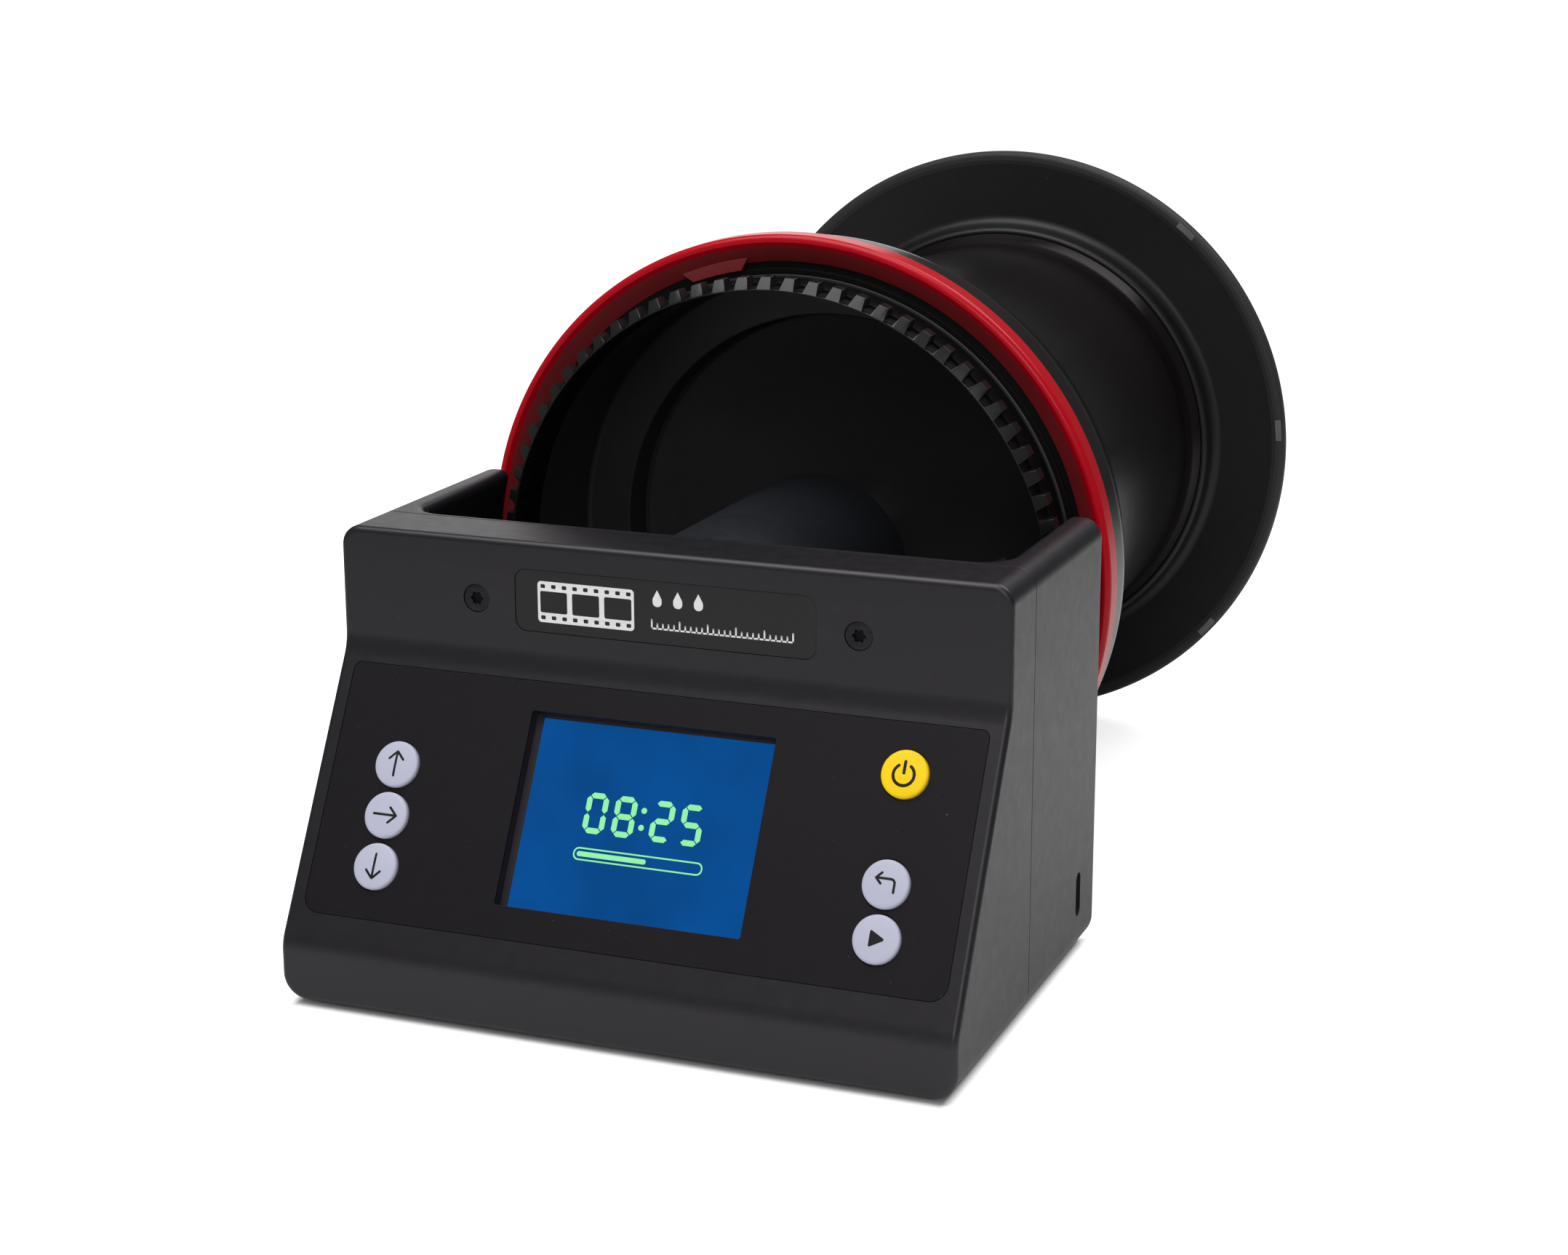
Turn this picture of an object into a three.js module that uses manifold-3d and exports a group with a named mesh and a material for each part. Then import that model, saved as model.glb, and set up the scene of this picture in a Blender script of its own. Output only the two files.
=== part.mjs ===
// A motorised rotary film developing tank: a small control unit with a cradle, and a tank lying on its
// side that the unit turns by a toothed ring. Millimetres, +Z up, +X to the right as seen from the front,
// +Y to the rear along the tank's axis. The origin is on the floor under the middle of the whole object.
import * as THREE from "three";
import { mergeVertices } from "three/addons/utils/BufferGeometryUtils.js";
import Module from "manifold-3d";

const wasm = await Module();
wasm.setup();

// ---- Driving dimensions -------------------------------------------------------------------------

const GAP = 0.3; // between two fixed pieces that touch
const SEAT = 0.25; // round a fixed piece in its recess
const FAR = 100; // reach of a cut that passes right through the unit
const CORNER_STEPS = 2; // half the number of flats round one corner of an outline
const LARGE_ROUND = 44; // sides of the tank's round pieces
const MIDDLE_ROUND = 28;
const SMALL_ROUND = 16;
const LENGTH = 258.3; // nose of the unit to the back of the support disc

// The unit's housing. Its own Y is measured from the lower edge of the key panel.
const HOUSING_WIDTH = 141.8;
const HOUSING_TOP = 92.4;
const HOUSING_NOSE = -3.1;
const HOUSING_REAR = 89.9;
const FRONT_BOTTOM = 1.75;
const CRADLE_BOTTOM = 2.75;
const WALL = 2.5;
const UPPER_WALL_Y = 27.3;
const PANEL_Z = 18.57; // height of the key panel's lower edge
const PANEL_TILT = THREE.MathUtils.degToRad(60.92);
const SEAM_Y = 42.1;
const POCKET_FRONT = 45.2;
const TOP_EDGE_RADIUS = 4.2;
const BOTTOM_EDGE_RADIUS = 7.5;

// The key panel, in its own plane: U to the right, V up the slope, N outwards.
const OVERLAY = { width: 137.2, height: 52.8, thick: 0.6, topRadius: 3, bottomRadius: 6 };
const RECESS_DEPTH = 0.7;
const SCREEN = { u: 1.2, v: 26.1, width: 48.96, height: 38.2 };
const SCREEN_MARGIN = 1.1;
const SCREEN_DEPTH = 2.8;
const KEY_RADIUS = 4.75;
const KEY_HEIGHT = 1.1;
const KEY_PITCH = 10.52;
const KEY_LEFT_U = -53.7;
const KEY_RIGHT_U = 52.9;
const KEYS = [
  { name: "key_up", u: KEY_LEFT_U, v: 11.2 + 2 * KEY_PITCH },
  { name: "key_right", u: KEY_LEFT_U, v: 11.2 + KEY_PITCH },
  { name: "key_down", u: KEY_LEFT_U, v: 11.2 },
  { name: "key_power", u: KEY_RIGHT_U, v: 42.3 },
  { name: "key_back", u: KEY_RIGHT_U, v: 2 * KEY_PITCH },
  { name: "key_start", u: KEY_RIGHT_U, v: KEY_PITCH },
];
const KEY_STEM_END = -WALL - 1.2;
const KEY_TAB = { reach: 6.4, half: 2, top: -WALL - 0.4 };
const LCD_FRAME = { halfWidth: 30, halfHeight: 22, thick: 2.6 };
const LCD_THICK = 2.4;
const BOARD = { halfWidth: 66, low: 3, high: 50, depth: 9, thick: 1.6 };
const SWITCH = { half: 3, top: -5.6, plungerRadius: 1.6, plungerTop: -4.5 };
const PROCESSOR = { left: -12, right: 2, low: 20, high: 34, tall: 1.2 };
const BUZZER = { u: -30, v: 36, radius: 5, tall: 4 };

const LABEL = { width: 64.3, z0: 74.1, z1: 86.8, radius: 2.6, thick: 0.5 };
const SHELL_SCREW = { x: 40.85, z: 79.8, headRadius: 2.8, shankRadius: 1.4, end: 41.5, socket: 1.5 };
const BOSS_RADIUS = 3.6; // posts that take a screw
const BOSS_TOP = 11;
const BASE_HOLE = { radius: 1.5, top: 9.5 };
const BASE_COVER = { halfWidth: 58, front: 3, rear: 79.5, z0: 1.3, z1: 2.5 };
const BASE_SCREWS = [
  { x: 54, y: 8 },
  { x: 52, y: 48.5 },
];
const BASE_SCREW = { headRadius: 2.5, shankRadius: 1.2, end: 9 };
const SERVICE_OPENING = { inner: 34, front: 53, rear: 78 };
const BULKHEAD = { front: 79.5, rear: 82 };
const CHAMBER_TOP = 60;
const POCKET_WALL = 4;
const FOOT = { x: 44, front: 12, rear: 70, radius: 6, height: 1 };
const USB = { y: 76.7, z: 14.8, tall: 9.5, wide: 3.2 };
const SNOUT = { radius: 21.4, z: 70.2, end: 114.3, wall: 2 };

// The tank turns about a line along Y at this height, which is also the support disc's radius.
const AXIS_Z = 74.57;
const POCKET_RADIUS = 66;
const RING_TEETH = 75;
const PINION_TEETH = 12;
const MODULE = 127 / RING_TEETH;
const PRESSURE_ANGLE = THREE.MathUtils.degToRad(20);
const BACKLASH = 0.1;
const CENTRE_CLEARANCE = 0.1;
const RING_ADDENDUM = 1.2;
const RING_DEDENDUM = 1.4;
const PINION_ADDENDUM = 1.0;
const PINION_DEDENDUM = 1.45;
const GEAR_FRONT = 84.2;
const GEAR_BACK = 89.2;
const GEAR_BORE = 61.3;
const PINION_X = 54;
const SHAFT_RADIUS = 2;
const PINION_ROOM = 2; // round a pinion in its chamber
const CHAMBER_FRONT = 83;
const CHAMBER_REAR = 88.3;
const BUSH_RADIUS = 4;
const MOTOR = { radius: 8.5, front: 22, joint: 33, boxRadius: 8, boxEnd: 39.3, bossRadius: 3, bossEnd: 40.6 };
const BRACKET = { half: 11, front: 39.6, rear: 41.6 };
const SHAFT_END = 89.4;
const IDLER_HEAD = { radius: 3.5, front: 77, rear: 79.2 };
const CELL = { radius: 9.2, length: 65, x: -12, y: 31, z: 15 };
const HOLDER = { left: -48, right: 24, front: 21, rear: 41, top: 13 };
const WIRE_HOLE = 1.6;
const PROBE = { radius: 3, tipRadius: 1.6, front: 108, shoulder: 166, end: 168 };

const LID_FRONT = 97.4;
const COLLAR_RADIUS = 69.9;
const COLLAR_REAR = 113.5;
const TANK_BASE = 250.9;
const TANK_WALL = 2;
const LOCK_RING = { inner: 66.2, outer: 71.8, front: 94.95, rear: 101 };
const TAB_ANGLES = [105.5, 225.5, 345.5];
const TAB_HALF_ANGLE = 6.8;
const DISC_FRONT = 251.3;
const DISC_RADIUS = 71.6;
const DISC_REAR = LENGTH + HOUSING_NOSE;
const COLUMN_RADIUS = 12.5;
const REEL_RADIUS = 46;
const REEL_STARTS = [166, 206];
const REEL_LENGTH = 37;
const CLIP = { front: 163, rear: 165.4, thick: 2.7 };
const COLUMN = { front: 154, wall: 2, footRadius: 30, footThick: 2 };
const THROAT = { inner: 15, outer: 17, front: 150, rear: 162 };
const LID_FLANGE = { radius: 69.4, thick: 2 };

const PINION_PITCH_RADIUS = (MODULE * PINION_TEETH) / 2;
const RING_PITCH_RADIUS = (MODULE * RING_TEETH) / 2;
const CENTRE_DISTANCE = RING_PITCH_RADIUS + PINION_PITCH_RADIUS + CENTRE_CLEARANCE;
const PINION_Z = AXIS_Z - Math.sqrt(CENTRE_DISTANCE ** 2 - PINION_X ** 2);

// ---- Materials ----------------------------------------------------------------------------------

const MATERIALS = {
  housing: [0x33343a, 0.45, 0],
  overlay: [0x17171a, 0.6, 0],
  label: [0x1c1b1c, 0.35, 0],
  greyKey: [0xc9c7de, 0.55, 0],
  powerKey: [0xffcc14, 0.5, 0],
  screen: [0x004b96, 0.15, 0],
  board: [0x1d4a2c, 0.6, 0],
  steel: [0xb4b4b8, 0.3, 1],
  darkSteel: [0x1a1a1c, 0.4, 1],
  bronze: [0xb08a4a, 0.4, 1],
  redPlastic: [0xc8101c, 0.25, 0],
  blackGloss: [0x0c0c0d, 0.15, 0],
  blackSatin: [0x111113, 0.4, 0],
  rubber: [0x0e0e0f, 0.8, 0],
  nylon: [0xe6e4dc, 0.5, 0],
  cell: [0x2f6f9f, 0.4, 0],
};

function material(name) {
  const [color, roughness, metalness] = MATERIALS[name];
  return new THREE.MeshStandardMaterial({ color, roughness, metalness });
}

// ---- Solids -------------------------------------------------------------------------------------

// A closed geometry as a solid for joining and cutting, with its faces turned outwards.
function solid(geometry) {
  const bare = geometry.clone();
  bare.deleteAttribute("normal");
  bare.deleteAttribute("uv");
  const merged = mergeVertices(bare, 1e-4);
  const corners = merged.index.array;
  const position = merged.getAttribute("position");
  const triangles = [];
  const [a, b, c] = [new THREE.Vector3(), new THREE.Vector3(), new THREE.Vector3()];
  let volume = 0;
  for (let i = 0; i < corners.length; i += 3) {
    const [p, q, r] = [corners[i], corners[i + 1], corners[i + 2]];
    if (p === q || q === r || r === p) continue;
    triangles.push([p, q, r]);
    a.fromBufferAttribute(position, p);
    b.fromBufferAttribute(position, q);
    c.fromBufferAttribute(position, r);
    volume += a.dot(b.cross(c));
  }
  if (volume < 0) triangles.forEach((t) => t.reverse());
  return new wasm.Manifold(
    new wasm.Mesh({
      numProp: 3,
      vertProperties: new Float32Array(position.array),
      triVerts: new Uint32Array(triangles.flat()),
    }),
  );
}

function geometryOf(shape) {
  const made = shape.getMesh();
  const geometry = new THREE.BufferGeometry();
  geometry.setAttribute("position", new THREE.BufferAttribute(new Float32Array(made.vertProperties), 3));
  geometry.setIndex(new THREE.BufferAttribute(new Uint32Array(made.triVerts), 1));
  geometry.computeVertexNormals();
  return geometry;
}

function node(parent, name, shape, finish) {
  const mesh = new THREE.Mesh(geometryOf(shape), material(finish));
  mesh.name = name;
  parent.add(mesh);
}

// A box from its lowest to its highest corner.
function block(x0, x1, y0, y1, z0, z1) {
  const box = new THREE.BoxGeometry(x1 - x0, y1 - y0, z1 - z0);
  return solid(box.translate((x0 + x1) / 2, (y0 + y1) / 2, (z0 + z1) / 2));
}

// An outline drawn as X and Z, extruded along Y.
function extrudeY(shape, y0, y1, curveSegments = CORNER_STEPS) {
  const made = new THREE.ExtrudeGeometry(shape, { depth: y1 - y0, bevelEnabled: false, curveSegments });
  return solid(made.rotateX(Math.PI / 2).translate(0, y1, 0));
}

// An outline drawn as X and Y, extruded along Z.
function extrudeZ(shape, z0, z1, curveSegments = CORNER_STEPS) {
  const made = new THREE.ExtrudeGeometry(shape, { depth: z1 - z0, bevelEnabled: false, curveSegments });
  return solid(made.translate(0, 0, z0));
}

// An outline drawn as Y and Z, extruded along X to both sides.
function extrudeX(shape, halfWidth, curveSegments = CORNER_STEPS) {
  const made = new THREE.ExtrudeGeometry(shape, { depth: 2 * halfWidth, bevelEnabled: false, curveSegments });
  const turn = new THREE.Matrix4().makeBasis(
    new THREE.Vector3(0, 1, 0),
    new THREE.Vector3(0, 0, 1),
    new THREE.Vector3(1, 0, 0),
  );
  return solid(made.applyMatrix4(turn).translate(-halfWidth, 0, 0));
}

// A body of revolution about a line along Y. The profile is pairs of radius and Y.
function turned(profile, segments, x = 0, z = 0) {
  const points = [...profile, profile[0]].map(([radius, y]) => new THREE.Vector2(radius, y));
  return solid(new THREE.LatheGeometry(points, segments).translate(x, 0, z));
}

function rodY(radius, y0, y1, x, z, segments = SMALL_ROUND) {
  return turned([[0, y0], [radius, y0], [radius, y1], [0, y1]], segments, x, z);
}

function tubeY(inner, outer, y0, y1, x, z, segments = SMALL_ROUND) {
  return turned([[inner, y0], [outer, y0], [outer, y1], [inner, y1]], segments, x, z);
}

// A rod standing along Z.
function rodZ(radius, z0, z1, x, y, segments = SMALL_ROUND) {
  const rod = new THREE.CylinderGeometry(radius, radius, z1 - z0, segments);
  return solid(rod.rotateX(Math.PI / 2).translate(x, y, (z0 + z1) / 2));
}

// Corners are [x, y, radius] and run counter-clockwise. The same list moved inwards by a distance.
function inset(corners, distance) {
  const count = corners.length;
  const edges = corners.map(([x, y], i) => {
    const [nextX, nextY] = corners[(i + 1) % count];
    const length = Math.hypot(nextX - x, nextY - y);
    const [dx, dy] = [(nextX - x) / length, (nextY - y) / length];
    return { x: x - dy * distance, y: y + dx * distance, dx, dy };
  });
  return corners.map(([, , radius], i) => {
    const before = edges[(i + count - 1) % count];
    const after = edges[i];
    const cross = before.dx * after.dy - before.dy * after.dx;
    const along = ((after.x - before.x) * after.dy - (after.y - before.y) * after.dx) / cross;
    const grown = cross > 0 ? Math.max(radius - distance, 0.5) : radius + distance;
    return [before.x + before.dx * along, before.y + before.dy * along, grown];
  });
}

// A closed outline with each corner rounded to its own radius.
function roundedOutline(corners) {
  const shape = new THREE.Shape();
  const count = corners.length;
  corners.forEach(([x, y, radius], i) => {
    const corner = new THREE.Vector2(x, y);
    const before = new THREE.Vector2(...corners[(i + count - 1) % count]).sub(corner).normalize();
    const after = new THREE.Vector2(...corners[(i + 1) % count]).sub(corner).normalize();
    const half = Math.acos(before.dot(after)) / 2;
    const start = corner.clone().addScaledVector(before, radius / Math.tan(half));
    const end = corner.clone().addScaledVector(after, radius / Math.tan(half));
    const middle = before.clone().add(after).normalize();
    const centre = corner.clone().addScaledVector(middle, radius / Math.sin(half));
    const clockwise = before.cross(after) > 0;
    const from = Math.atan2(start.y - centre.y, start.x - centre.x);
    const to = Math.atan2(end.y - centre.y, end.x - centre.x);
    if (i === 0) shape.moveTo(start.x, start.y);
    shape.absarc(centre.x, centre.y, radius, from, to, clockwise);
  });
  return shape;
}

function rectangle(x0, x1, y0, y1, lowRadius, highRadius = lowRadius) {
  return roundedOutline([
    [x0, y0, lowRadius],
    [x1, y0, lowRadius],
    [x1, y1, highRadius],
    [x0, y1, highRadius],
  ]);
}

// ---- Housing ------------------------------------------------------------------------------------

// The housing's side outline: nose, sloping key panel, upper wall, flat top and straight rear.
function sideCorners() {
  const slope = Math.tan(PANEL_TILT);
  return [
    [HOUSING_NOSE, FRONT_BOTTOM, 1],
    [HOUSING_REAR, FRONT_BOTTOM, 1],
    [HOUSING_REAR, HOUSING_TOP, 2.5],
    [UPPER_WALL_Y, HOUSING_TOP, 2],
    [UPPER_WALL_Y, PANEL_Z + UPPER_WALL_Y * slope, 10],
    [HOUSING_NOSE, PANEL_Z + HOUSING_NOSE * slope, 8],
  ];
}

// The block that both shells are cut from, or the space inside it at a wall's thickness.
function housingBlock(wall = 0) {
  const half = HOUSING_WIDTH / 2 - wall;
  const section = rectangle(
    -half,
    half,
    FRONT_BOTTOM + wall,
    HOUSING_TOP - wall,
    BOTTOM_EDGE_RADIUS - wall,
    TOP_EDGE_RADIUS - wall,
  );
  const side = roundedOutline(inset(sideCorners(), wall));
  return extrudeX(side, half + 1).intersect(extrudeY(section, HOUSING_NOSE - 1, HOUSING_REAR + 1));
}

// Places a solid drawn in the key panel's own plane.
function onPanel(shape) {
  const turn = new THREE.Matrix4().makeRotationX(PANEL_TILT).setPosition(0, 0, PANEL_Z);
  return solid(geometryOf(shape).applyMatrix4(turn));
}

function screenWindow() {
  const halfWidth = SCREEN.width / 2 + SCREEN_MARGIN;
  const halfHeight = SCREEN.height / 2 + SCREEN_MARGIN;
  return rectangle(
    SCREEN.u - halfWidth,
    SCREEN.u + halfWidth,
    SCREEN.v - halfHeight,
    SCREEN.v + halfHeight,
    0.8,
  );
}

function overlayOutline(grow) {
  const half = OVERLAY.width / 2 + grow;
  const [low, high] = [OVERLAY.bottomRadius + grow, OVERLAY.topRadius + grow];
  return rectangle(-half, half, -grow, OVERLAY.height + grow, low, high);
}

function keyHoles(z0, z1, clearance) {
  const holes = KEYS.map(({ u, v }) => rodZ(KEY_RADIUS + clearance, z0, z1, u, v));
  return holes.reduce((all, hole) => all.add(hole));
}

// Two mirrored copies, left and right.
function both(make) {
  return make(1).add(make(-1));
}

function frontShell() {
  const outer = housingBlock().intersect(block(-FAR, FAR, -FAR, SEAM_Y - GAP / 2, 0, FAR));
  const { halfWidth, front, z1 } = BASE_COVER;
  const floorTop = FRONT_BOTTOM + WALL;
  const opening = block(-halfWidth - GAP, halfWidth + GAP, front - GAP, FAR, 0, floorTop + 1);
  const panelCuts = extrudeZ(overlayOutline(SEAT), -RECESS_DEPTH, WALL)
    .add(extrudeZ(screenWindow(), -WALL - 1, 1))
    .add(keyHoles(-WALL - 1, 1, SEAT));
  const label = rectangle(
    -LABEL.width / 2 - SEAT,
    LABEL.width / 2 + SEAT,
    LABEL.z0 - SEAT,
    LABEL.z1 + SEAT,
    LABEL.radius,
  );
  const labelPocket = extrudeY(label, UPPER_WALL_Y - 2, UPPER_WALL_Y + LABEL.thick + GAP);
  const screwHole = screwShape(GAP, UPPER_WALL_Y - 1);
  const screwHoles = both((side) => screwHole.translate([side * SHELL_SCREW.x, 0, 0]));
  const { x, y } = BASE_SCREWS[0];
  const bosses = both((side) => {
    const post = rodZ(BOSS_RADIUS, z1 + GAP, BOSS_TOP, side * x, y);
    const [near, far] = [side * x, side * (HOUSING_WIDTH / 2 - WALL + 0.5)];
    const rib = block(Math.min(near, far), Math.max(near, far), y - 1, y + 1, BOSS_TOP - 5, BOSS_TOP);
    return post.add(rib).subtract(rodZ(BASE_HOLE.radius, 0, BASE_HOLE.top, side * x, y));
  });
  return outer
    .subtract(housingBlock(WALL))
    .subtract(opening)
    .subtract(onPanel(panelCuts))
    .subtract(labelPocket)
    .subtract(screwHoles)
    .add(bosses);
}

function pinionCentres() {
  return [1, -1].map((side) => [side * PINION_X, PINION_Z]);
}

// The round pocket that takes the toothed end of the tank, with a filleted front end.
function pocket() {
  const fillet = 6;
  const arc = [0, 1, 2, 3].map((step) => {
    const angle = (step / 3) * (Math.PI / 2);
    return [
      POCKET_RADIUS - fillet + fillet * Math.sin(angle),
      POCKET_FRONT + fillet - fillet * Math.cos(angle),
    ];
  });
  const profile = [[0, POCKET_FRONT], ...arc, [POCKET_RADIUS, HOUSING_REAR + 5], [0, HOUSING_REAR + 5]];
  return turned(profile, LARGE_ROUND, 0, AXIS_Z);
}

// The space inside the rear cradle, beside and under its pocket, with a bulkhead before the pinions.
function cradleChamber() {
  return housingBlock(WALL)
    .intersect(block(-FAR, FAR, POCKET_FRONT, FAR, CRADLE_BOTTOM + WALL, CHAMBER_TOP))
    .subtract(rodY(POCKET_RADIUS + POCKET_WALL, 0, FAR, 0, AXIS_Z, LARGE_ROUND))
    .subtract(block(-FAR, FAR, BULKHEAD.front, BULKHEAD.rear, 0, FAR));
}

function rearCradle() {
  const outer = housingBlock().intersect(block(-FAR, FAR, SEAM_Y + GAP / 2, FAR, CRADLE_BOTTOM, FAR));
  const { inner, front, rear } = SERVICE_OPENING;
  const opening = both((side) => {
    const [near, far] = [side * inner, side * (BASE_COVER.halfWidth - 2)];
    return block(Math.min(near, far), Math.max(near, far), front, rear, 0, CRADLE_BOTTOM + WALL + 1);
  });
  let body = outer.subtract(cradleChamber()).subtract(opening).subtract(pocket());
  for (const [x, z] of pinionCentres()) {
    const room = PINION_PITCH_RADIUS + PINION_ROOM;
    body = body
      .subtract(rodY(room, CHAMBER_FRONT, CHAMBER_REAR, x, z, MIDDLE_ROUND))
      .subtract(rodY(SHAFT_RADIUS + GAP, CHAMBER_TOP, HOUSING_REAR + 1, x, z))
      .subtract(rodY(BUSH_RADIUS + GAP, SEAM_Y - 1, POCKET_FRONT + 3, x, z));
  }
  const base = BASE_SCREWS[1];
  const posts = both((side) => {
    const post = rodZ(BOSS_RADIUS, CRADLE_BOTTOM + 0.5, BOSS_TOP, side * base.x, base.y);
    return post.intersect(block(-FAR, FAR, POCKET_FRONT - 1, FAR, 0, BOSS_TOP));
  });
  const baseHoles = both((side) => rodZ(BASE_HOLE.radius, 0, BASE_HOLE.top, side * base.x, base.y));
  const screw = SHELL_SCREW;
  const postEnd = POCKET_FRONT - 1;
  const screwPosts = both((side) => {
    return rodY(BOSS_RADIUS, UPPER_WALL_Y + WALL + GAP, postEnd, side * screw.x, screw.z);
  });
  const screwHoles = both((side) => rodY(screw.shankRadius + GAP, 0, postEnd, side * screw.x, screw.z));
  const slot = rectangle(
    USB.y - USB.wide / 2,
    USB.y + USB.wide / 2,
    USB.z - USB.tall / 2,
    USB.z + USB.tall / 2,
    USB.wide / 2 - 0.05,
  );
  const slotCut = extrudeX(slot, 2 * WALL + 1).translate([HOUSING_WIDTH / 2, 0, 0]);
  const wireHole = rodY(WIRE_HOLE, POCKET_FRONT - 5, POCKET_FRONT + 5, 0, SNOUT.z);
  return body
    .add(posts)
    .subtract(baseHoles)
    .add(screwPosts)
    .subtract(screwHoles)
    .subtract(slotCut)
    .subtract(wireHole);
}

// A countersunk screw along Y at X 0 and the shell screws' height, its head flush with a wall.
function screwShape(grow = 0, mouth = UPPER_WALL_Y + GAP) {
  const [head, shank] = [SHELL_SCREW.headRadius + grow, SHELL_SCREW.shankRadius + grow];
  const seat = UPPER_WALL_Y + GAP;
  const profile = [
    [0, mouth],
    [head, mouth],
    [head, seat + 0.3],
    [shank, seat + 1.7],
    [shank, SHELL_SCREW.end],
    [0, SHELL_SCREW.end],
  ];
  return turned(profile, SMALL_ROUND, 0, SHELL_SCREW.z);
}

// A six-lobed socket, as X and Y.
function starShape(radius, x, y) {
  const points = [];
  for (let i = 0; i < 12; i += 1) {
    const reach = i % 2 ? radius * 0.72 : radius;
    const angle = (i * Math.PI) / 6;
    points.push(new THREE.Vector2(x + reach * Math.cos(angle), y + reach * Math.sin(angle)));
  }
  return new THREE.Shape(points);
}

function shellScrew(side) {
  const { socket: reach, z } = SHELL_SCREW;
  const socket = extrudeY(starShape(reach, 0, z), UPPER_WALL_Y - 1, UPPER_WALL_Y + reach);
  return screwShape().subtract(socket).translate([side * SHELL_SCREW.x, 0, 0]);
}

function baseScrew(x, y) {
  const { z0 } = BASE_COVER;
  const { headRadius, shankRadius, end } = BASE_SCREW;
  const head = rodZ(headRadius, z0 - 0.7, z0 - GAP / 3, x, y);
  const shank = rodZ(shankRadius, z0 - 0.5, end, x, y);
  const socket = extrudeZ(starShape(shankRadius, x, y), z0 - 2, z0 - 0.4);
  return head.add(shank).subtract(socket);
}

function baseCover() {
  const { halfWidth, front, rear, z0, z1 } = BASE_COVER;
  const plate = extrudeZ(rectangle(-halfWidth, halfWidth, front, rear, 4), z0, z1);
  const holes = BASE_SCREWS.map(({ x, y }) => both((side) => rodZ(BASE_HOLE.radius, 0, FAR, side * x, y)));
  return holes.reduce((cover, hole) => cover.subtract(hole), plate);
}

// ---- Key panel ----------------------------------------------------------------------------------

function keypadOverlay() {
  return extrudeZ(overlayOutline(0), -OVERLAY.thick, 0)
    .subtract(extrudeZ(screenWindow(), -FAR, FAR))
    .subtract(keyHoles(-FAR, FAR, SEAT - 0.05));
}

// A domed cap with a stem through the shell, and two tabs that keep it in.
function key({ u, v }) {
  const profile = [
    [0, KEY_HEIGHT],
    [2.6, KEY_HEIGHT - 0.18],
    [KEY_RADIUS - 0.6, KEY_HEIGHT - 0.55],
    [KEY_RADIUS, 0.1],
    [KEY_RADIUS, KEY_STEM_END],
    [0, KEY_STEM_END],
  ];
  const points = [...profile, profile[0]].map(([radius, height]) => new THREE.Vector2(radius, height));
  const cap = solid(new THREE.LatheGeometry(points, SMALL_ROUND + 4).rotateX(Math.PI / 2).translate(u, v, 0));
  const { reach, half, top } = KEY_TAB;
  const tabs = block(u - reach, u + reach, v - half, v + half, KEY_STEM_END, top);
  return cap.add(tabs);
}

function panelBlock(u, v, halfWidth, halfHeight, low, high) {
  return block(u - halfWidth, u + halfWidth, v - halfHeight, v + halfHeight, low, high);
}

function lcdFrame() {
  const { u, v, width, height } = SCREEN;
  const { halfWidth, halfHeight, thick } = LCD_FRAME;
  const outer = panelBlock(u, v, halfWidth, halfHeight, -SCREEN_DEPTH - thick, -SCREEN_DEPTH);
  return outer.subtract(panelBlock(u, v, width / 2 + SCREEN_MARGIN, height / 2 + SCREEN_MARGIN, -FAR, 0));
}

function lcdScreen() {
  const { u, v, width, height } = SCREEN;
  const margin = SCREEN_MARGIN - GAP;
  const [low, high] = [-SCREEN_DEPTH - LCD_THICK, -SCREEN_DEPTH];
  return panelBlock(u, v, width / 2 + margin, height / 2 + margin, low, high);
}

function controlBoard() {
  const face = -BOARD.depth;
  const sunk = face - 0.5;
  let board = block(-BOARD.halfWidth, BOARD.halfWidth, BOARD.low, BOARD.high, face - BOARD.thick, face);
  for (const { u, v } of KEYS) {
    const body = panelBlock(u, v, SWITCH.half, SWITCH.half, sunk, SWITCH.top);
    const plunger = rodZ(SWITCH.plungerRadius, SWITCH.top - 0.4, SWITCH.plungerTop, u, v);
    board = board.add(body).add(plunger);
  }
  const { left, right, low, high, tall } = PROCESSOR;
  return board.add(block(left, right, low, high, sunk, face + tall));
}

function buzzer() {
  const top = -BOARD.depth - BOARD.thick - GAP;
  return rodZ(BUZZER.radius, top - BUZZER.tall, top, BUZZER.u, BUZZER.v);
}

// ---- Inside the unit ----------------------------------------------------------------------------

function driveMotor() {
  const { radius, front, joint, boxRadius, boxEnd, bossRadius, bossEnd } = MOTOR;
  const body = rodY(radius, front, joint, PINION_X, PINION_Z, MIDDLE_ROUND);
  const gearbox = rodY(boxRadius, joint - 0.5, boxEnd, PINION_X, PINION_Z, MIDDLE_ROUND);
  const boss = rodY(bossRadius, boxEnd - GAP, bossEnd, PINION_X, PINION_Z);
  const bore = rodY(SHAFT_RADIUS + GAP, boxEnd - 1.3, FAR, PINION_X, PINION_Z);
  return body.add(gearbox).add(boss).subtract(bore);
}

function motorBracket() {
  const { half, front, rear } = BRACKET;
  const plate = block(PINION_X - half, PINION_X + half, front, rear, PINION_Z - half, PINION_Z + half);
  return plate.subtract(rodY(MOTOR.bossRadius + GAP, 0, FAR, PINION_X, PINION_Z));
}

function driveBush() {
  return tubeY(SHAFT_RADIUS + GAP, BUSH_RADIUS, SEAM_Y, POCKET_FRONT + 2, PINION_X, PINION_Z);
}

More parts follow.
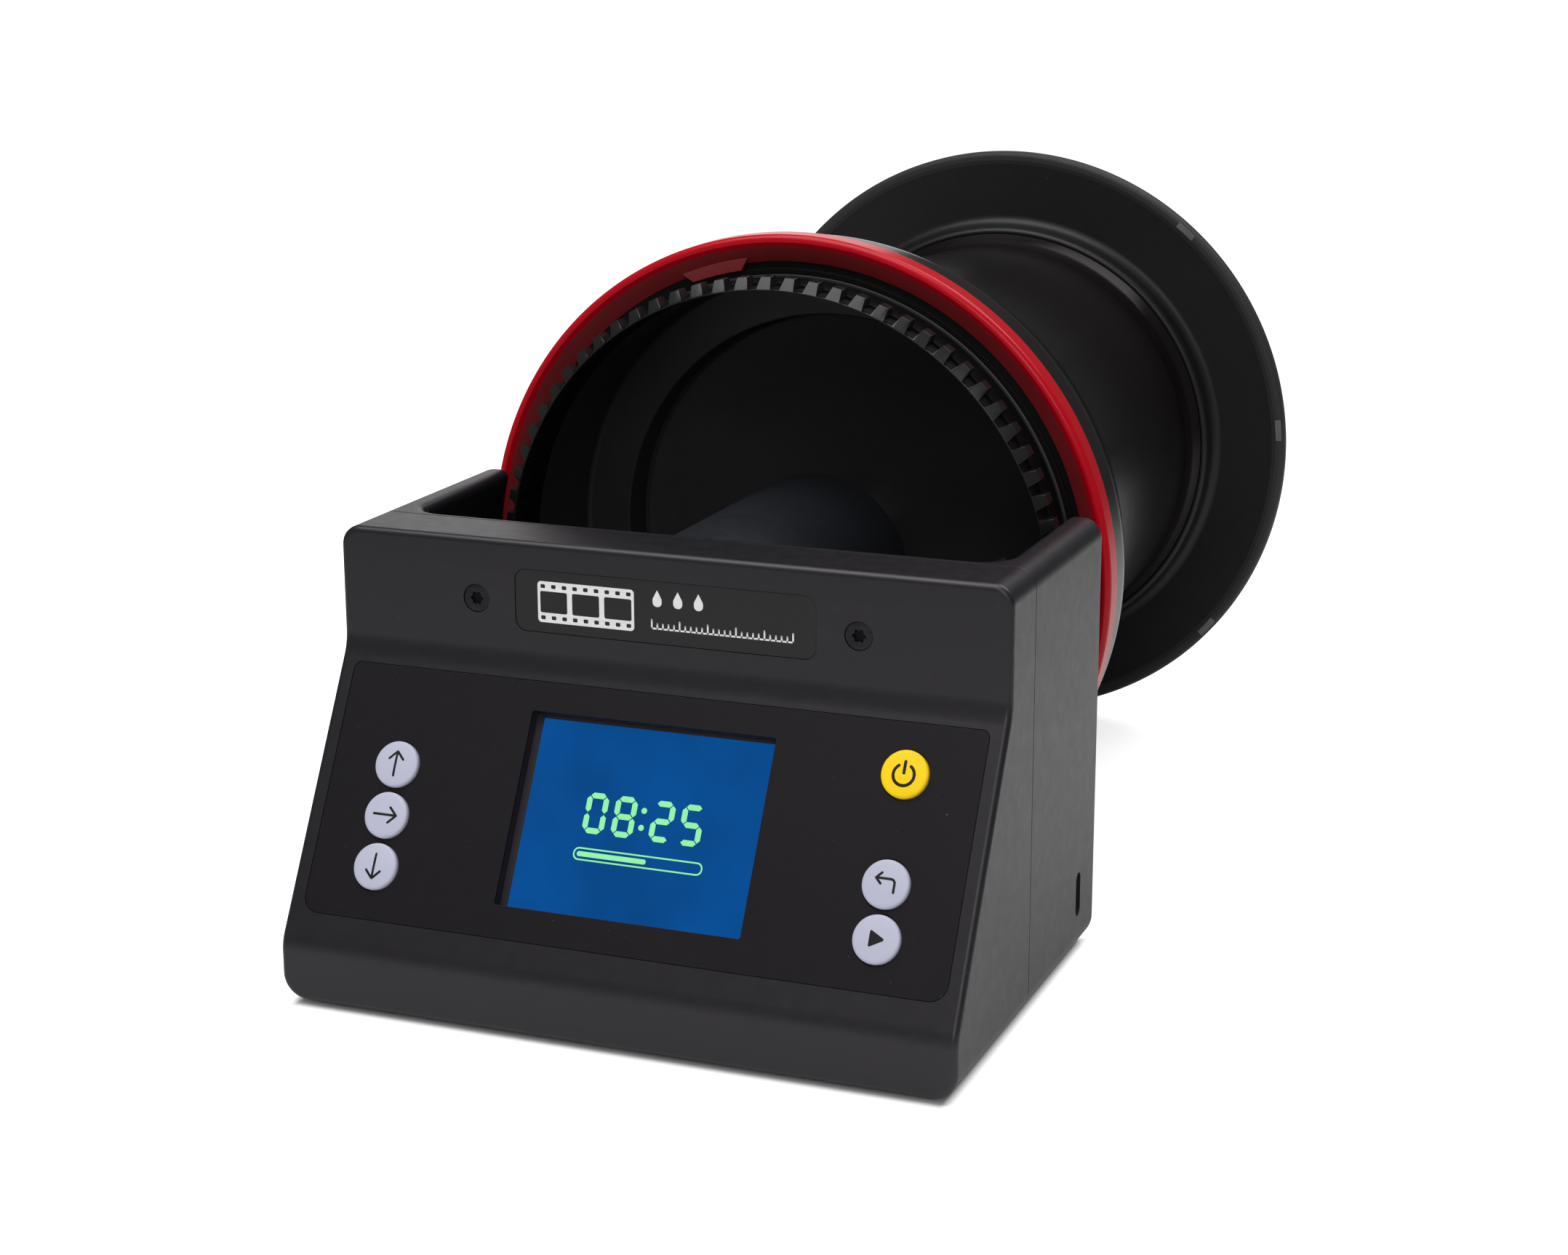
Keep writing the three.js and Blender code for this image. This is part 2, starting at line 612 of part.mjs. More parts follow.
function cellShape(grow) {
  const { radius, length, x, y, z } = CELL;
  const can = new THREE.CylinderGeometry(radius + grow, radius + grow, length + 2 * grow, MIDDLE_ROUND);
  return solid(can.rotateZ(Math.PI / 2).translate(x, y, z));
}

function batteryHolder() {
  const { left, right, front, rear, top } = HOLDER;
  return block(left, right, front, rear, BASE_COVER.z1 + GAP, top).subtract(cellShape(GAP));
}

function usbSlot(grow) {
  const [tall, wide] = [USB.tall / 2 - GAP + grow, USB.wide / 2 - GAP + grow];
  return rectangle(USB.y - wide, USB.y + wide, USB.z - tall, USB.z + tall, wide - 0.05);
}

function usbPort() {
  const half = HOUSING_WIDTH / 2;
  const depth = 3.5;
  const shell = extrudeX(usbSlot(0), depth).translate([half - depth - 1, 0, 0]);
  const mouth = extrudeX(usbSlot(-0.35), depth - 0.5).translate([half - depth, 0, 0]);
  const [thin, tall] = [0.3, 3.2];
  const tongue = block(half - 2 * depth, half - 2, USB.y - thin, USB.y + thin, USB.z - tall, USB.z + tall);
  return shell.subtract(mouth).add(tongue);
}

function usbBoard() {
  const half = HOUSING_WIDTH / 2;
  const under = USB.z - USB.tall / 2;
  return block(half - 24, half - 8.4, USB.y - 10.7, USB.y + 1.5, under - 0.25, under + 1.35);
}

// A closed-ended sleeve from the pocket's front wall into the mouth of the tank.
function probeSnout() {
  const { radius, end, wall, z } = SNOUT;
  const start = POCKET_FRONT + GAP;
  const outer = [
    [0, start],
    [radius, start],
    [radius, end - 3],
    [radius - 0.9, end - 0.9],
    [radius - 3, end],
    [0, end],
  ];
  const hollow = rodY(radius - wall, 0, end - wall, 0, z, MIDDLE_ROUND);
  const probeHole = rodY(PROBE.radius + GAP, end - 5, end + 5, 0, AXIS_Z);
  return turned(outer, MIDDLE_ROUND, 0, z).subtract(hollow).subtract(probeHole);
}

function temperatureProbe() {
  const { radius, tipRadius, front, shoulder, end } = PROBE;
  const profile = [[0, front], [radius, front], [radius, shoulder], [tipRadius, end], [0, end]];
  return turned(profile, SMALL_ROUND, 0, AXIS_Z);
}

// ---- Gears --------------------------------------------------------------------------------------

const involute = (angle) => Math.tan(angle) - angle;

// A spur gear's outline as X and Z about its own centre, one tooth centred on the phase angle.
function gearOutline(teeth, addendum, dedendum, phase, heights) {
  const pitch = (MODULE * teeth) / 2;
  const base = pitch * Math.cos(PRESSURE_ANGLE);
  const thickness = (Math.PI * MODULE) / 2 - BACKLASH;
  const halfAngle = (radius) => {
    const local = Math.acos(Math.min(1, base / radius));
    return thickness / 2 / pitch + involute(PRESSURE_ANGLE) - involute(local);
  };
  const root = pitch - dedendum;
  const radii = heights.map((share) => root + share * (addendum + dedendum));
  const points = [];
  for (let tooth = 0; tooth < teeth; tooth += 1) {
    const centre = phase + (tooth * 2 * Math.PI) / teeth;
    const rising = radii.map((radius) => [radius, centre - halfAngle(radius)]);
    const falling = [...radii].reverse().map((radius) => [radius, centre + halfAngle(radius)]);
    for (const [radius, angle] of [...rising, ...falling]) {
      points.push(new THREE.Vector2(radius * Math.cos(angle), radius * Math.sin(angle)));
    }
  }
  return new THREE.Shape(points);
}

function ringPhase() {
  return Math.atan2(PINION_Z - AXIS_Z, PINION_X);
}

// The pinion's phase that puts one of its gaps on the ring's nearest tooth.
function pinionPhase(side) {
  const towards = Math.atan2(PINION_Z - AXIS_Z, side * PINION_X);
  const pitchAngle = (2 * Math.PI) / RING_TEETH;
  const away = (towards - ringPhase()) / pitchAngle;
  const offset = (Math.round(away) - away) * pitchAngle;
  return towards + Math.PI - (offset * RING_TEETH) / PINION_TEETH + Math.PI / PINION_TEETH;
}

function pinion(side) {
  const outline = gearOutline(PINION_TEETH, PINION_ADDENDUM, PINION_DEDENDUM, pinionPhase(side), [0, 0.5, 1]);
  const wheel = extrudeY(outline, GEAR_FRONT + GAP, CHAMBER_REAR - GAP);
  return wheel.subtract(rodY(SHAFT_RADIUS + GAP, 0, FAR, 0, 0)).translate([side * PINION_X, 0, PINION_Z]);
}

function driveShaft() {
  return rodY(SHAFT_RADIUS, MOTOR.bossEnd + 0.2, SHAFT_END, PINION_X, PINION_Z);
}

function idlerPin() {
  const { radius, front, rear } = IDLER_HEAD;
  const head = rodY(radius, front, rear, -PINION_X, PINION_Z);
  return rodY(SHAFT_RADIUS, rear - 1, SHAFT_END, -PINION_X, PINION_Z).add(head);
}

// ---- Tank ---------------------------------------------------------------------------------------

function gearRing() {
  const outline = gearOutline(RING_TEETH, RING_ADDENDUM, RING_DEDENDUM, ringPhase(), [0, 1]);
  const hole = new THREE.Path().absarc(0, 0, GEAR_BORE + 0.3, 0, 2 * Math.PI, true);
  outline.holes.push(hole);
  const teeth = extrudeY(outline, GEAR_FRONT, GEAR_BACK, LARGE_ROUND / 2).translate([0, 0, AXIS_Z]);
  const drum = turned(
    [
      [GEAR_BORE, GEAR_FRONT],
      [GEAR_BORE + 0.6, GEAR_FRONT],
      [GEAR_BORE + 0.6, GEAR_BACK - 0.5],
      [GEAR_BORE + 1.3, GEAR_BACK - 0.5],
      [GEAR_BORE + 1.3, LID_FRONT - GAP],
      [GEAR_BORE, LID_FRONT - GAP],
    ],
    LARGE_ROUND,
    0,
    AXIS_Z,
  );
  return teeth.add(drum);
}

function lockRing() {
  const { inner, outer, front, rear } = LOCK_RING;
  const ring = turned(
    [
      [inner, front + 0.3],
      [outer - 2.2, front + 0.3],
      [outer - 1.4, front],
      [outer - 0.4, front + 0.5],
      [outer, front + 1.6],
      [outer, rear],
      [COLLAR_RADIUS + GAP, rear],
      [COLLAR_RADIUS + GAP, front + 2.1],
      [inner, front + 2.1],
    ],
    LARGE_ROUND,
    0,
    AXIS_Z,
  );
  const tabs = TAB_ANGLES.map((middle) => {
    const half = THREE.MathUtils.degToRad(TAB_HALF_ANGLE);
    const centre = THREE.MathUtils.degToRad(middle);
    const shape = new THREE.Shape();
    shape.absarc(0, 0, inner + 1, centre - half, centre + half, false);
    shape.absarc(0, 0, inner - 1.4, centre + half * 0.85, centre - half * 0.85, true);
    return extrudeY(shape, front + 0.6, front + 2.1).translate([0, 0, AXIS_Z]);
  });
  return tabs.reduce((all, tab) => all.add(tab), ring);
}

// The stepped light-trap funnel that closes the tank.
function funnel() {
  const mouth = GEAR_BORE;
  const { inner, outer, front, rear } = THROAT;
  const { radius, thick } = LID_FLANGE;
  return turned(
    [
      [mouth, LID_FRONT],
      [mouth, 122.6],
      [50.7, 122.9],
      [50.7, 131.6],
      [49.8, 132.6],
      [inner, front],
      [inner, rear],
      [outer, rear],
      [outer, front + 1.5],
      [52.7, 133.6],
      [52.7, 125],
      [mouth + 2, 125],
      [mouth + 2, LID_FRONT + thick],
      [radius, LID_FRONT + thick],
      [radius, LID_FRONT],
    ],
    LARGE_ROUND,
    0,
    AXIS_Z,
  );
}

function tankBody() {
  const front = LID_FRONT + LID_FLANGE.thick + GAP;
  return turned(
    [
      [COLLAR_RADIUS, front],
      [COLLAR_RADIUS, COLLAR_REAR],
      [66.2, 126.6],
      [55.4, 128.4],
      [51.2, TANK_BASE],
      [0, TANK_BASE],
      [0, TANK_BASE - TANK_WALL],
      [49.2, TANK_BASE - TANK_WALL],
      [53.3, 126.2],
      [63.8, 125.6],
      [67.4, COLLAR_REAR - 1],
      [67.4, front],
    ],
    LARGE_ROUND,
    0,
    AXIS_Z,
  );
}

function centreColumn() {
  const { front, wall, footRadius, footThick } = COLUMN;
  const foot = TANK_BASE - TANK_WALL - GAP;
  return turned(
    [
      [COLUMN_RADIUS - wall, front],
      [COLUMN_RADIUS, front],
      [COLUMN_RADIUS, foot - footThick - 0.5],
      [footRadius, foot - footThick],
      [footRadius, foot],
      [COLUMN_RADIUS - wall, foot],
    ],
    MIDDLE_ROUND,
    0,
    AXIS_Z,
  );
}

// One half of a film reel: a flange with a rim, and a hub that nests with the other half's.
function reelHalf(face, hub, towards) {
  const flange = 1.8;
  const rim = 3;
  const hubEnd = REEL_LENGTH - 2.5;
  const profile = [
    [hub, 0],
    [REEL_RADIUS, 0],
    [REEL_RADIUS, rim],
    [REEL_RADIUS - 1.5, rim],
    [REEL_RADIUS - 1.5, flange],
    [hub + 1.8, flange],
    [hub + 1.8, hubEnd],
    [hub, hubEnd],
  ];
  const placed = profile.map(([radius, y]) => [radius, face + towards * y]);
  return turned(placed, MIDDLE_ROUND, 0, AXIS_Z);
}

function reelClip() {
  const inner = COLUMN_RADIUS + GAP;
  return tubeY(inner, inner + CLIP.thick, CLIP.front, CLIP.rear, 0, AXIS_Z, MIDDLE_ROUND);
}

// The disc that carries the tank's closed end and rolls on the table.
function supportDisc() {
  const plate = DISC_FRONT;
  const thick = 2.4;
  const ridge = 4.2;
  return turned(
    [
      [0, plate],
      [51.6, plate],
      [51.6, plate - ridge + 0.8],
      [52.6, plate - ridge],
      [54.8, plate - ridge],
      [55.8, plate - ridge + 0.8],
      [56.2, plate],
      [DISC_RADIUS, plate],
      [DISC_RADIUS, plate + thick],
      [60, plate + thick],
      [58, plate + thick + 1],
      [20, plate + thick + 1],
      [18, plate + thick],
      [0, plate + thick],
    ],
    LARGE_ROUND,
    0,
    AXIS_Z,
  );
}

function discTyre() {
  const [front, rear] = [DISC_FRONT - GAP, DISC_REAR];
  const [inner, edge, bevel] = [DISC_RADIUS + GAP, AXIS_Z - 1, 1.1];
  return turned(
    [
      [inner, front],
      [edge, front],
      [AXIS_Z, front + bevel],
      [AXIS_Z, rear - bevel],
      [edge, rear],
      [inner, rear],
    ],
    LARGE_ROUND,
    0,
    AXIS_Z,
  );
}

// ---- Assembly -----------------------------------------------------------------------------------

const group = new THREE.Group();
const unit = new THREE.Group();
const tank = new THREE.Group();
group.add(unit, tank);
group.position.y = -(LENGTH / 2 + HOUSING_NOSE);

node(unit, "front_shell", frontShell(), "housing");
node(unit, "rear_cradle", rearCradle(), "housing");
node(unit, "base_cover", baseCover(), "housing");
const labelPlate = rectangle(-LABEL.width / 2, LABEL.width / 2, LABEL.z0, LABEL.z1, LABEL.radius - 0.2);
const labelFace = UPPER_WALL_Y + 0.15;
node(unit, "label_plate", extrudeY(labelPlate, labelFace, labelFace + LABEL.thick), "label");
node(unit, "shell_screw_left", shellScrew(-1), "darkSteel");
node(unit, "shell_screw_right", shellScrew(1), "darkSteel");
for (const [row, { x, y }] of BASE_SCREWS.entries()) {
  const where = row === 0 ? "front" : "rear";
  node(unit, `base_screw_${where}_left`, baseScrew(-x, y), "darkSteel");
  node(unit, `base_screw_${where}_right`, baseScrew(x, y), "darkSteel");
}
for (const [where, y] of [["front", FOOT.front], ["rear", FOOT.rear]]) {
  node(unit, `foot_${where}_left`, rodZ(FOOT.radius, 0, FOOT.height, -FOOT.x, y), "rubber");
  node(unit, `foot_${where}_right`, rodZ(FOOT.radius, 0, FOOT.height, FOOT.x, y), "rubber");
}
node(unit, "keypad_overlay", onPanel(keypadOverlay()), "overlay");
for (const one of KEYS) {
  node(unit, one.name, onPanel(key(one)), one.name === "key_power" ? "powerKey" : "greyKey");
}
node(unit, "lcd_frame", onPanel(lcdFrame()), "steel");
node(unit, "lcd_screen", onPanel(lcdScreen()), "screen");
node(unit, "control_board", onPanel(controlBoard()), "board");
node(unit, "buzzer", onPanel(buzzer()), "blackSatin");
node(unit, "battery_cell", cellShape(0), "cell");
node(unit, "battery_holder", batteryHolder(), "blackSatin");
node(unit, "usb_port", usbPort(), "steel");
node(unit, "usb_board", usbBoard(), "board");
node(unit, "drive_motor", driveMotor(), "steel");
node(unit, "motor_bracket", motorBracket(), "steel");
node(unit, "drive_bush", driveBush(), "bronze");
node(unit, "idler_pin", idlerPin(), "steel");
node(unit, "probe_snout", probeSnout(), "housing");
node(unit, "temperature_probe", temperatureProbe(), "steel");
node(unit, "drive_shaft", driveShaft(), "steel");
node(unit, "drive_pinion", pinion(1), "nylon");
node(unit, "idler_pinion", pinion(-1), "nylon");

node(tank, "gear_ring", gearRing(), "blackSatin");
node(tank, "lock_ring", lockRing(), "redPlastic");
node(tank, "light_trap_funnel", funnel(), "blackSatin");
node(tank, "tank_body", tankBody(), "blackGloss");
node(tank, "centre_column", centreColumn(), "blackSatin");
for (const [i, start] of REEL_STARTS.entries()) {
  const outerHub = COLUMN_RADIUS + 2.6;
  const innerHub = COLUMN_RADIUS + GAP;
  node(tank, `reel_${i + 1}_turning_half`, reelHalf(start, outerHub, 1), "nylon");
  node(tank, `reel_${i + 1}_fixed_half`, reelHalf(start + REEL_LENGTH, innerHub, -1), "nylon");
}
node(tank, "reel_clip", reelClip(), "redPlastic");
node(tank, "support_disc", supportDisc(), "blackSatin");
node(tank, "disc_tyre", discTyre(), "rubber");

export default group;
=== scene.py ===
"""Looks of the motorised rotary film developing tank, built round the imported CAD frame.

Shapes are drawn in millimetres in the housing's own frame: X to the right, Y to the rear from the key
panel's lower edge, Z up from the floor. place() turns them into metres in the row frame.
"""

import math

import bmesh
import bpy
from mathutils import Matrix, Vector


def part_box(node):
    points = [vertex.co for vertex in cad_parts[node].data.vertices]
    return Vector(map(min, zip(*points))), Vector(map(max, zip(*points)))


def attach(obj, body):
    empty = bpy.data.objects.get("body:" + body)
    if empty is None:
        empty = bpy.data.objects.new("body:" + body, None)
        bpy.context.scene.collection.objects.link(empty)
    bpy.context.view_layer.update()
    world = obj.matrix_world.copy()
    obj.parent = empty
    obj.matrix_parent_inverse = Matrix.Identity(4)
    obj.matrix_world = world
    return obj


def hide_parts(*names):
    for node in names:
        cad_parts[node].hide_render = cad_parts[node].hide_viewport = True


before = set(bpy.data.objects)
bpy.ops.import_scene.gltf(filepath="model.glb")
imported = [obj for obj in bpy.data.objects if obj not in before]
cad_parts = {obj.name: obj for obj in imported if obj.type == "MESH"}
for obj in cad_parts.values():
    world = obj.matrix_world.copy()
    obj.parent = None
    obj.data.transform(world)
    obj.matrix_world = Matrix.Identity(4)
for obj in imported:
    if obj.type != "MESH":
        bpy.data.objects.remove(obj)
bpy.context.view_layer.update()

MM = 0.001
AXIS_Z = 74.57  # the tank's axis above the floor
HALF_WIDTH = 71.6
TOP = 92.4
NOSE = -3.1  # the housing's foremost Y
REAR = 89.9  # and its rearmost
FRONT_BOTTOM = 1.0  # lower edges of the two mouldings
CRADLE_BOTTOM = 1.7
WALL = 2.5  # thickness of the mouldings
WALL_Y = 27.3  # the upright wall that holds the label
PANEL_Z = 18.57  # height of the key panel's plane at Y zero
TILT = math.radians(60.92)
SMOOTH_ANGLE = math.radians(32)  # faces that meet more sharply keep a crease
SEAM = 42.1
SEAM_GAP = 0.08
SEAM_ROUND = 0.2
OVERLAY_GAP = 0.12
LABEL_GAP = 0.07
BEYOND = 90  # X past either side of the housing
POCKET_FRONT = 45.2
POCKET_RADIUS = 66
GEAR_FRONT = 84.2
GEAR_BACK = 89.2
GEAR_BORE = 61.3
GEAR_TEETH = 75
LID_FRONT = 97.4
RING_FLANGE_BACK = 98.05
RIM_GAP = 0.3  # between the rim's drum and the lid
TANK_BASE = 250.9
DISC_FRONT = 251.3
DISC_REAR = 255.2
KEY_RADIUS = 4.75
KEY_TOP = 1.1  # a key's middle over the overlay
KEY_DOME = 0.30  # and its fall towards the edge
KEYS = {
    "key_up": (-53.7, 32.24),
    "key_right": (-53.7, 21.72),
    "key_down": (-53.7, 11.2),
    "key_power": (52.9, 42.3),
    "key_back": (52.9, 21.04),
    "key_start": (52.9, 10.52),
}
WINDOW = (-26.5, 25.8, 7.05, 46.45)  # in the key panel: left, right, bottom, top
PICTURE = (-24.8, 26.3, 6.2, 45.7)  # the lit area behind it
SCREEN_U, SCREEN_V = 0.35, 26.4  # the middle of its figures
SCREEN_DEPTH = -2.76
SCREW_X, SCREW_Z = 40.85, 79.8  # shell screws
FRONT_BOSS = (54, 8)  # base screws, X and Y
REAR_BOSS = (52, 48.5)
PINION_X = 54
INLET_Y, INLET_Z = 76.7, 14.8
SHIFT_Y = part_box("front_shell")[0].y / MM - NOSE  # row Y of the housing's own Y zero
PINION_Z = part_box("drive_shaft")[0].z / MM + 2

TO_ROW = Matrix.Scale(MM, 4) @ Matrix.Translation((0, SHIFT_Y, 0))
ON_PANEL = Matrix.Translation((0, 0, PANEL_Z)) @ Matrix.Rotation(TILT, 4, "X")
ON_WALL = Matrix.Translation((0, WALL_Y, 0)) @ Matrix.Rotation(math.pi / 2, 4, "X")


# ---- Outlines ------------------------------------------------------------------------------------


def rounded(corners, steps=8):
    """A closed outline with each corner (x, y, radius) rounded."""
    points = []
    count = len(corners)
    for i, (x, y, radius) in enumerate(corners):
        corner = Vector((x, y))
        if radius <= 0:
            points.append((x, y))
            continue
        before = (Vector(corners[i - 1][:2]) - corner).normalized()
        after = (Vector(corners[(i + 1) % count][:2]) - corner).normalized()
        half = math.acos(max(-1, min(1, before.dot(after)))) / 2
        start = corner + before * (radius / math.tan(half))
        end = corner + after * (radius / math.tan(half))
        centre = corner + (before + after).normalized() * (radius / math.sin(half))
        a = math.atan2(start.y - centre.y, start.x - centre.x)
        b = math.atan2(end.y - centre.y, end.x - centre.x)
        turn = (b - a + math.pi) % (2 * math.pi) - math.pi
        for k in range(steps + 1):
            angle = a + turn * k / steps
            points.append((centre.x + radius * math.cos(angle), centre.y + radius * math.sin(angle)))
    return points


def rectangle(x0, x1, y0, y1, low=0.0, high=None, steps=8):
    high = low if high is None else high
    return rounded([(x0, y0, low), (x1, y0, low), (x1, y1, high), (x0, y1, high)], steps)


def inset(corners, distance):
    """The corners of a counter-clockwise outline moved inwards, their radii with them."""
    count = len(corners)
    edges = []
    for i, (x, y, _) in enumerate(corners):
        nx, ny = corners[(i + 1) % count][:2]
        length = math.hypot(nx - x, ny - y)
        dx, dy = (nx - x) / length, (ny - y) / length
        edges.append((x - dy * distance, y + dx * distance, dx, dy))
    moved = []
    for i, (_, _, radius) in enumerate(corners):
        bx, by, bdx, bdy = edges[i - 1]
        ax, ay, adx, ady = edges[i]
        cross = bdx * ady - bdy * adx
        along = ((ax - bx) * ady - (ay - by) * adx) / cross
        grown = max(radius - distance, 0.3) if cross > 0 else radius + distance
        moved.append((bx + bdx * along, by + bdy * along, grown if radius > 0 else 0))
    return moved


def circle(x, y, radius, count=64):
    angles = [2 * math.pi * k / count for k in range(count)]
    return [(x + radius * math.cos(a), y + radius * math.sin(a)) for a in angles]


def arc(x, y, radius, start, end, count=24):
    """Points along an arc, angles in degrees."""
    angles = [math.radians(start + (end - start) * k / count) for k in range(count + 1)]
    return [(x + radius * math.cos(a), y + radius * math.sin(a)) for a in angles]


def between(a, b, k, parts):
    """The point k parts of the way from a to b."""
    return (a[0] + (b[0] - a[0]) * k / parts, a[1] + (b[1] - a[1]) * k / parts)


def finer(points, step):
    """A closed outline with its long edges divided."""
    divided = []
    for a, b in zip(points, points[1:] + points[:1]):
        parts = max(1, math.ceil(math.dist(a, b) / step))
        divided += [between(a, b, k, parts) for k in range(parts)]
    return divided


# ---- Meshes --------------------------------------------------------------------------------------


def show(name, data):
    """An object for some data, in the scene."""
    made = bpy.data.objects.new(name, data)
    bpy.context.scene.collection.objects.link(made)
    return made


def mesh_object(name, vertices, faces):
    mesh = bpy.data.meshes.new(name)
    mesh.from_pydata([tuple(v) for v in vertices], [], faces)
    mesh.update()
    return show(name, mesh)


def tidy(obj, merge=1e-4):
    """Joins doubled points and turns the faces outwards."""
    bm = bmesh.new()
    bm.from_mesh(obj.data)
    bmesh.ops.remove_doubles(bm, verts=bm.verts, dist=merge)
    bmesh.ops.dissolve_degenerate(bm, edges=bm.edges, dist=merge)
    bmesh.ops.recalc_face_normals(bm, faces=bm.faces)
    bm.to_mesh(obj.data)
    bm.free()
    return obj


def prism(outline, low, high, turn=None):
    """An outline as local X and Y, extruded along local Z, then turned."""
    count = len(outline)
    vertices = [Vector((x, y, low)) for x, y in outline] + [Vector((x, y, high)) for x, y in outline]
    if turn is not None:
        vertices = [turn @ v for v in vertices]
    faces = [tuple(reversed(range(count))), tuple(range(count, 2 * count))]
    faces += [(i, (i + 1) % count, count + (i + 1) % count, count + i) for i in range(count)]
    return tidy(mesh_object("prism", vertices, faces))


ALONG_Y = Matrix(((1, 0, 0, 0), (0, 0, 1, 0), (0, 1, 0, 0), (0, 0, 0, 1)))  # outline (X, Z), depth Y
ALONG_X = Matrix(((0, 0, 1, 0), (1, 0, 0, 0), (0, 1, 0, 0), (0, 0, 0, 1)))  # outline (Y, Z), depth X


def prism_y(outline, y0, y1):
    return prism(outline, y0, y1, ALONG_Y)


def prism_x(outline, x0, x1):
    return prism(outline, x0, x1, ALONG_X)


def box(x0, x1, y0, y1, z0, z1):
    return prism([(x0, y0), (x1, y0), (x1, y1), (x0, y1)], z0, z1)


def lathe(profile, segments=192, x=0.0, z=AXIS_Z, turn=None):
    """A closed profile of (radius, Y) turned about a line along Y. A turn is given in its own frame."""
    vertices, faces = [], []
    count = len(profile)
    for s in range(segments):
        angle = 2 * math.pi * s / segments
        for radius, y in profile:
            vertices.append(Vector((radius * math.cos(angle), y, radius * math.sin(angle))))
    for s in range(segments):
        for i in range(count):
            j, t = (i + 1) % count, (s + 1) % segments
            faces.append((s * count + i, s * count + j, t * count + j, t * count + i))
    place_at = turn if turn is not None else Matrix.Translation((x, 0, z))
    return tidy(mesh_object("lathe", [place_at @ v for v in vertices], faces))


def rod_y(radius, y0, y1, x, z, segments=48):
    return lathe([(0, y0), (radius, y0), (radius, y1), (0, y1)], segments, x, z)


def rod_z(radius, z0, z1, x, y, segments=48, turn=None):
    return prism(circle(x, y, radius, segments), z0, z1, turn)


def combine(target, other, operation="DIFFERENCE"):
    """Joins, cuts or intersects two solids. The second is used up."""
    modifier = target.modifiers.new("combine", "BOOLEAN")
    modifier.object = other
    modifier.operation = operation
    modifier.solver = "EXACT"
    graph = bpy.context.evaluated_depsgraph_get()
    made = bpy.data.meshes.new_from_object(target.evaluated_get(graph))
    target.modifiers.clear()
    target.data = made
    bpy.data.objects.remove(other)
    return target


def sharp_edges(bm, limit=25):
    return [e for e in bm.edges if len(e.link_faces) == 2 and e.calc_face_angle(0) > math.radians(limit)]


def round_edges(obj, pick, offset, segments=4, limit=25):
    """Rounds the sharp edges for which pick(a, b) is true."""
    bm = bmesh.new()
    bm.from_mesh(obj.data)
    bmesh.ops.remove_doubles(bm, verts=bm.verts, dist=1e-3)
    flat = [e for e in bm.edges if len(e.link_faces) == 2 and e.calc_face_angle(1) < 1e-4]
    bmesh.ops.dissolve_edges(bm, edges=flat, use_verts=False)
    edges = [e for e in sharp_edges(bm, limit) if pick(e.verts[0].co, e.verts[1].co)]
    bmesh.ops.bevel(
        bm,
        geom=edges,
        offset=offset,
        offset_type="OFFSET",
        segments=segments,
        profile=0.5,
        affect="EDGES",
        clamp_overlap=False,
    )
    bm.to_mesh(obj.data)
    bm.free()
    return obj


def sheet(outlines, low, high, edge=0.05, turn=None, edge_steps=2):
    """A flat plate from an outer outline and its holes, with finely rounded edges."""
    curve = bpy.data.curves.new("sheet", "CURVE")
    curve.dimensions = "2D"
    curve.fill_mode = "BOTH"
    curve.extrude = (high - low) / 2 - edge
    curve.bevel_depth = edge
    curve.bevel_resolution = edge_steps
    curve.offset = -edge
    for outline in outlines:
        spline = curve.splines.new("POLY")
        spline.points.add(len(outline) - 1)
        for point, (x, y) in zip(spline.points, outline):
            point.co = (x, y, 0, 1)
        spline.use_cyclic_u = True
    drawn = show("sheet", curve)
    graph = bpy.context.evaluated_depsgraph_get()
    mesh = bpy.data.meshes.new_from_object(drawn.evaluated_get(graph))
    bpy.data.objects.remove(drawn)
    mesh.materials.clear()
    mesh.transform(Matrix.Translation((0, 0, (low + high) / 2)))
    if turn is not None:
        mesh.transform(turn)
    return tidy(show("sheet", mesh), 1e-5)


def ribbon(lines, width, lift, turn):
    """Thin marks along lines of points. lift(x, y) is their height over the plane."""
    longest, dots = 0.4, 12  # the longest step along a line, and the corners of its round ends
    vertices, faces = [], []

    def add(points):
        start = len(vertices)
        vertices.extend(turn @ Vector((x, y, lift(x, y))) for x, y in points)
        return start

    for line in lines:
        points = [line[0]]
        for a, b in zip(line, line[1:]):
            parts = max(1, int(math.dist(a, b) / longest))
            points += [between(a, b, k, parts) for k in range(1, parts + 1)]
        rows = []
        for i, (x, y) in enumerate(points):
            a, b = points[max(i - 1, 0)], points[min(i + 1, len(points) - 1)]
            length = math.dist(a, b) or 1
            nx, ny = -(b[1] - a[1]) / length * width / 2, (b[0] - a[0]) / length * width / 2
            rows.append(add([(x + nx, y + ny), (x, y), (x - nx, y - ny)]))
        for r, s in zip(rows, rows[1:]):
            faces += [(r + 1, s + 1, s, r), (r + 2, s + 2, s + 1, r + 1)]
        for x, y in (points[0], points[-1]):
            rim = add([(x, y)] + circle(x, y, width / 2, dots))
            faces += [(rim, rim + 1 + k, rim + 1 + (k + 1) % dots) for k in range(dots)]
    return mesh_object("ribbon", vertices, faces)


def join(objects):
    """Several meshes as one."""
    bm = bmesh.new()
    for one in objects:
        bm.from_mesh(one.data)
    bm.to_mesh(objects[0].data)
    bm.free()
    for one in objects[1:]:
        bpy.data.objects.remove(one)
    return objects[0]


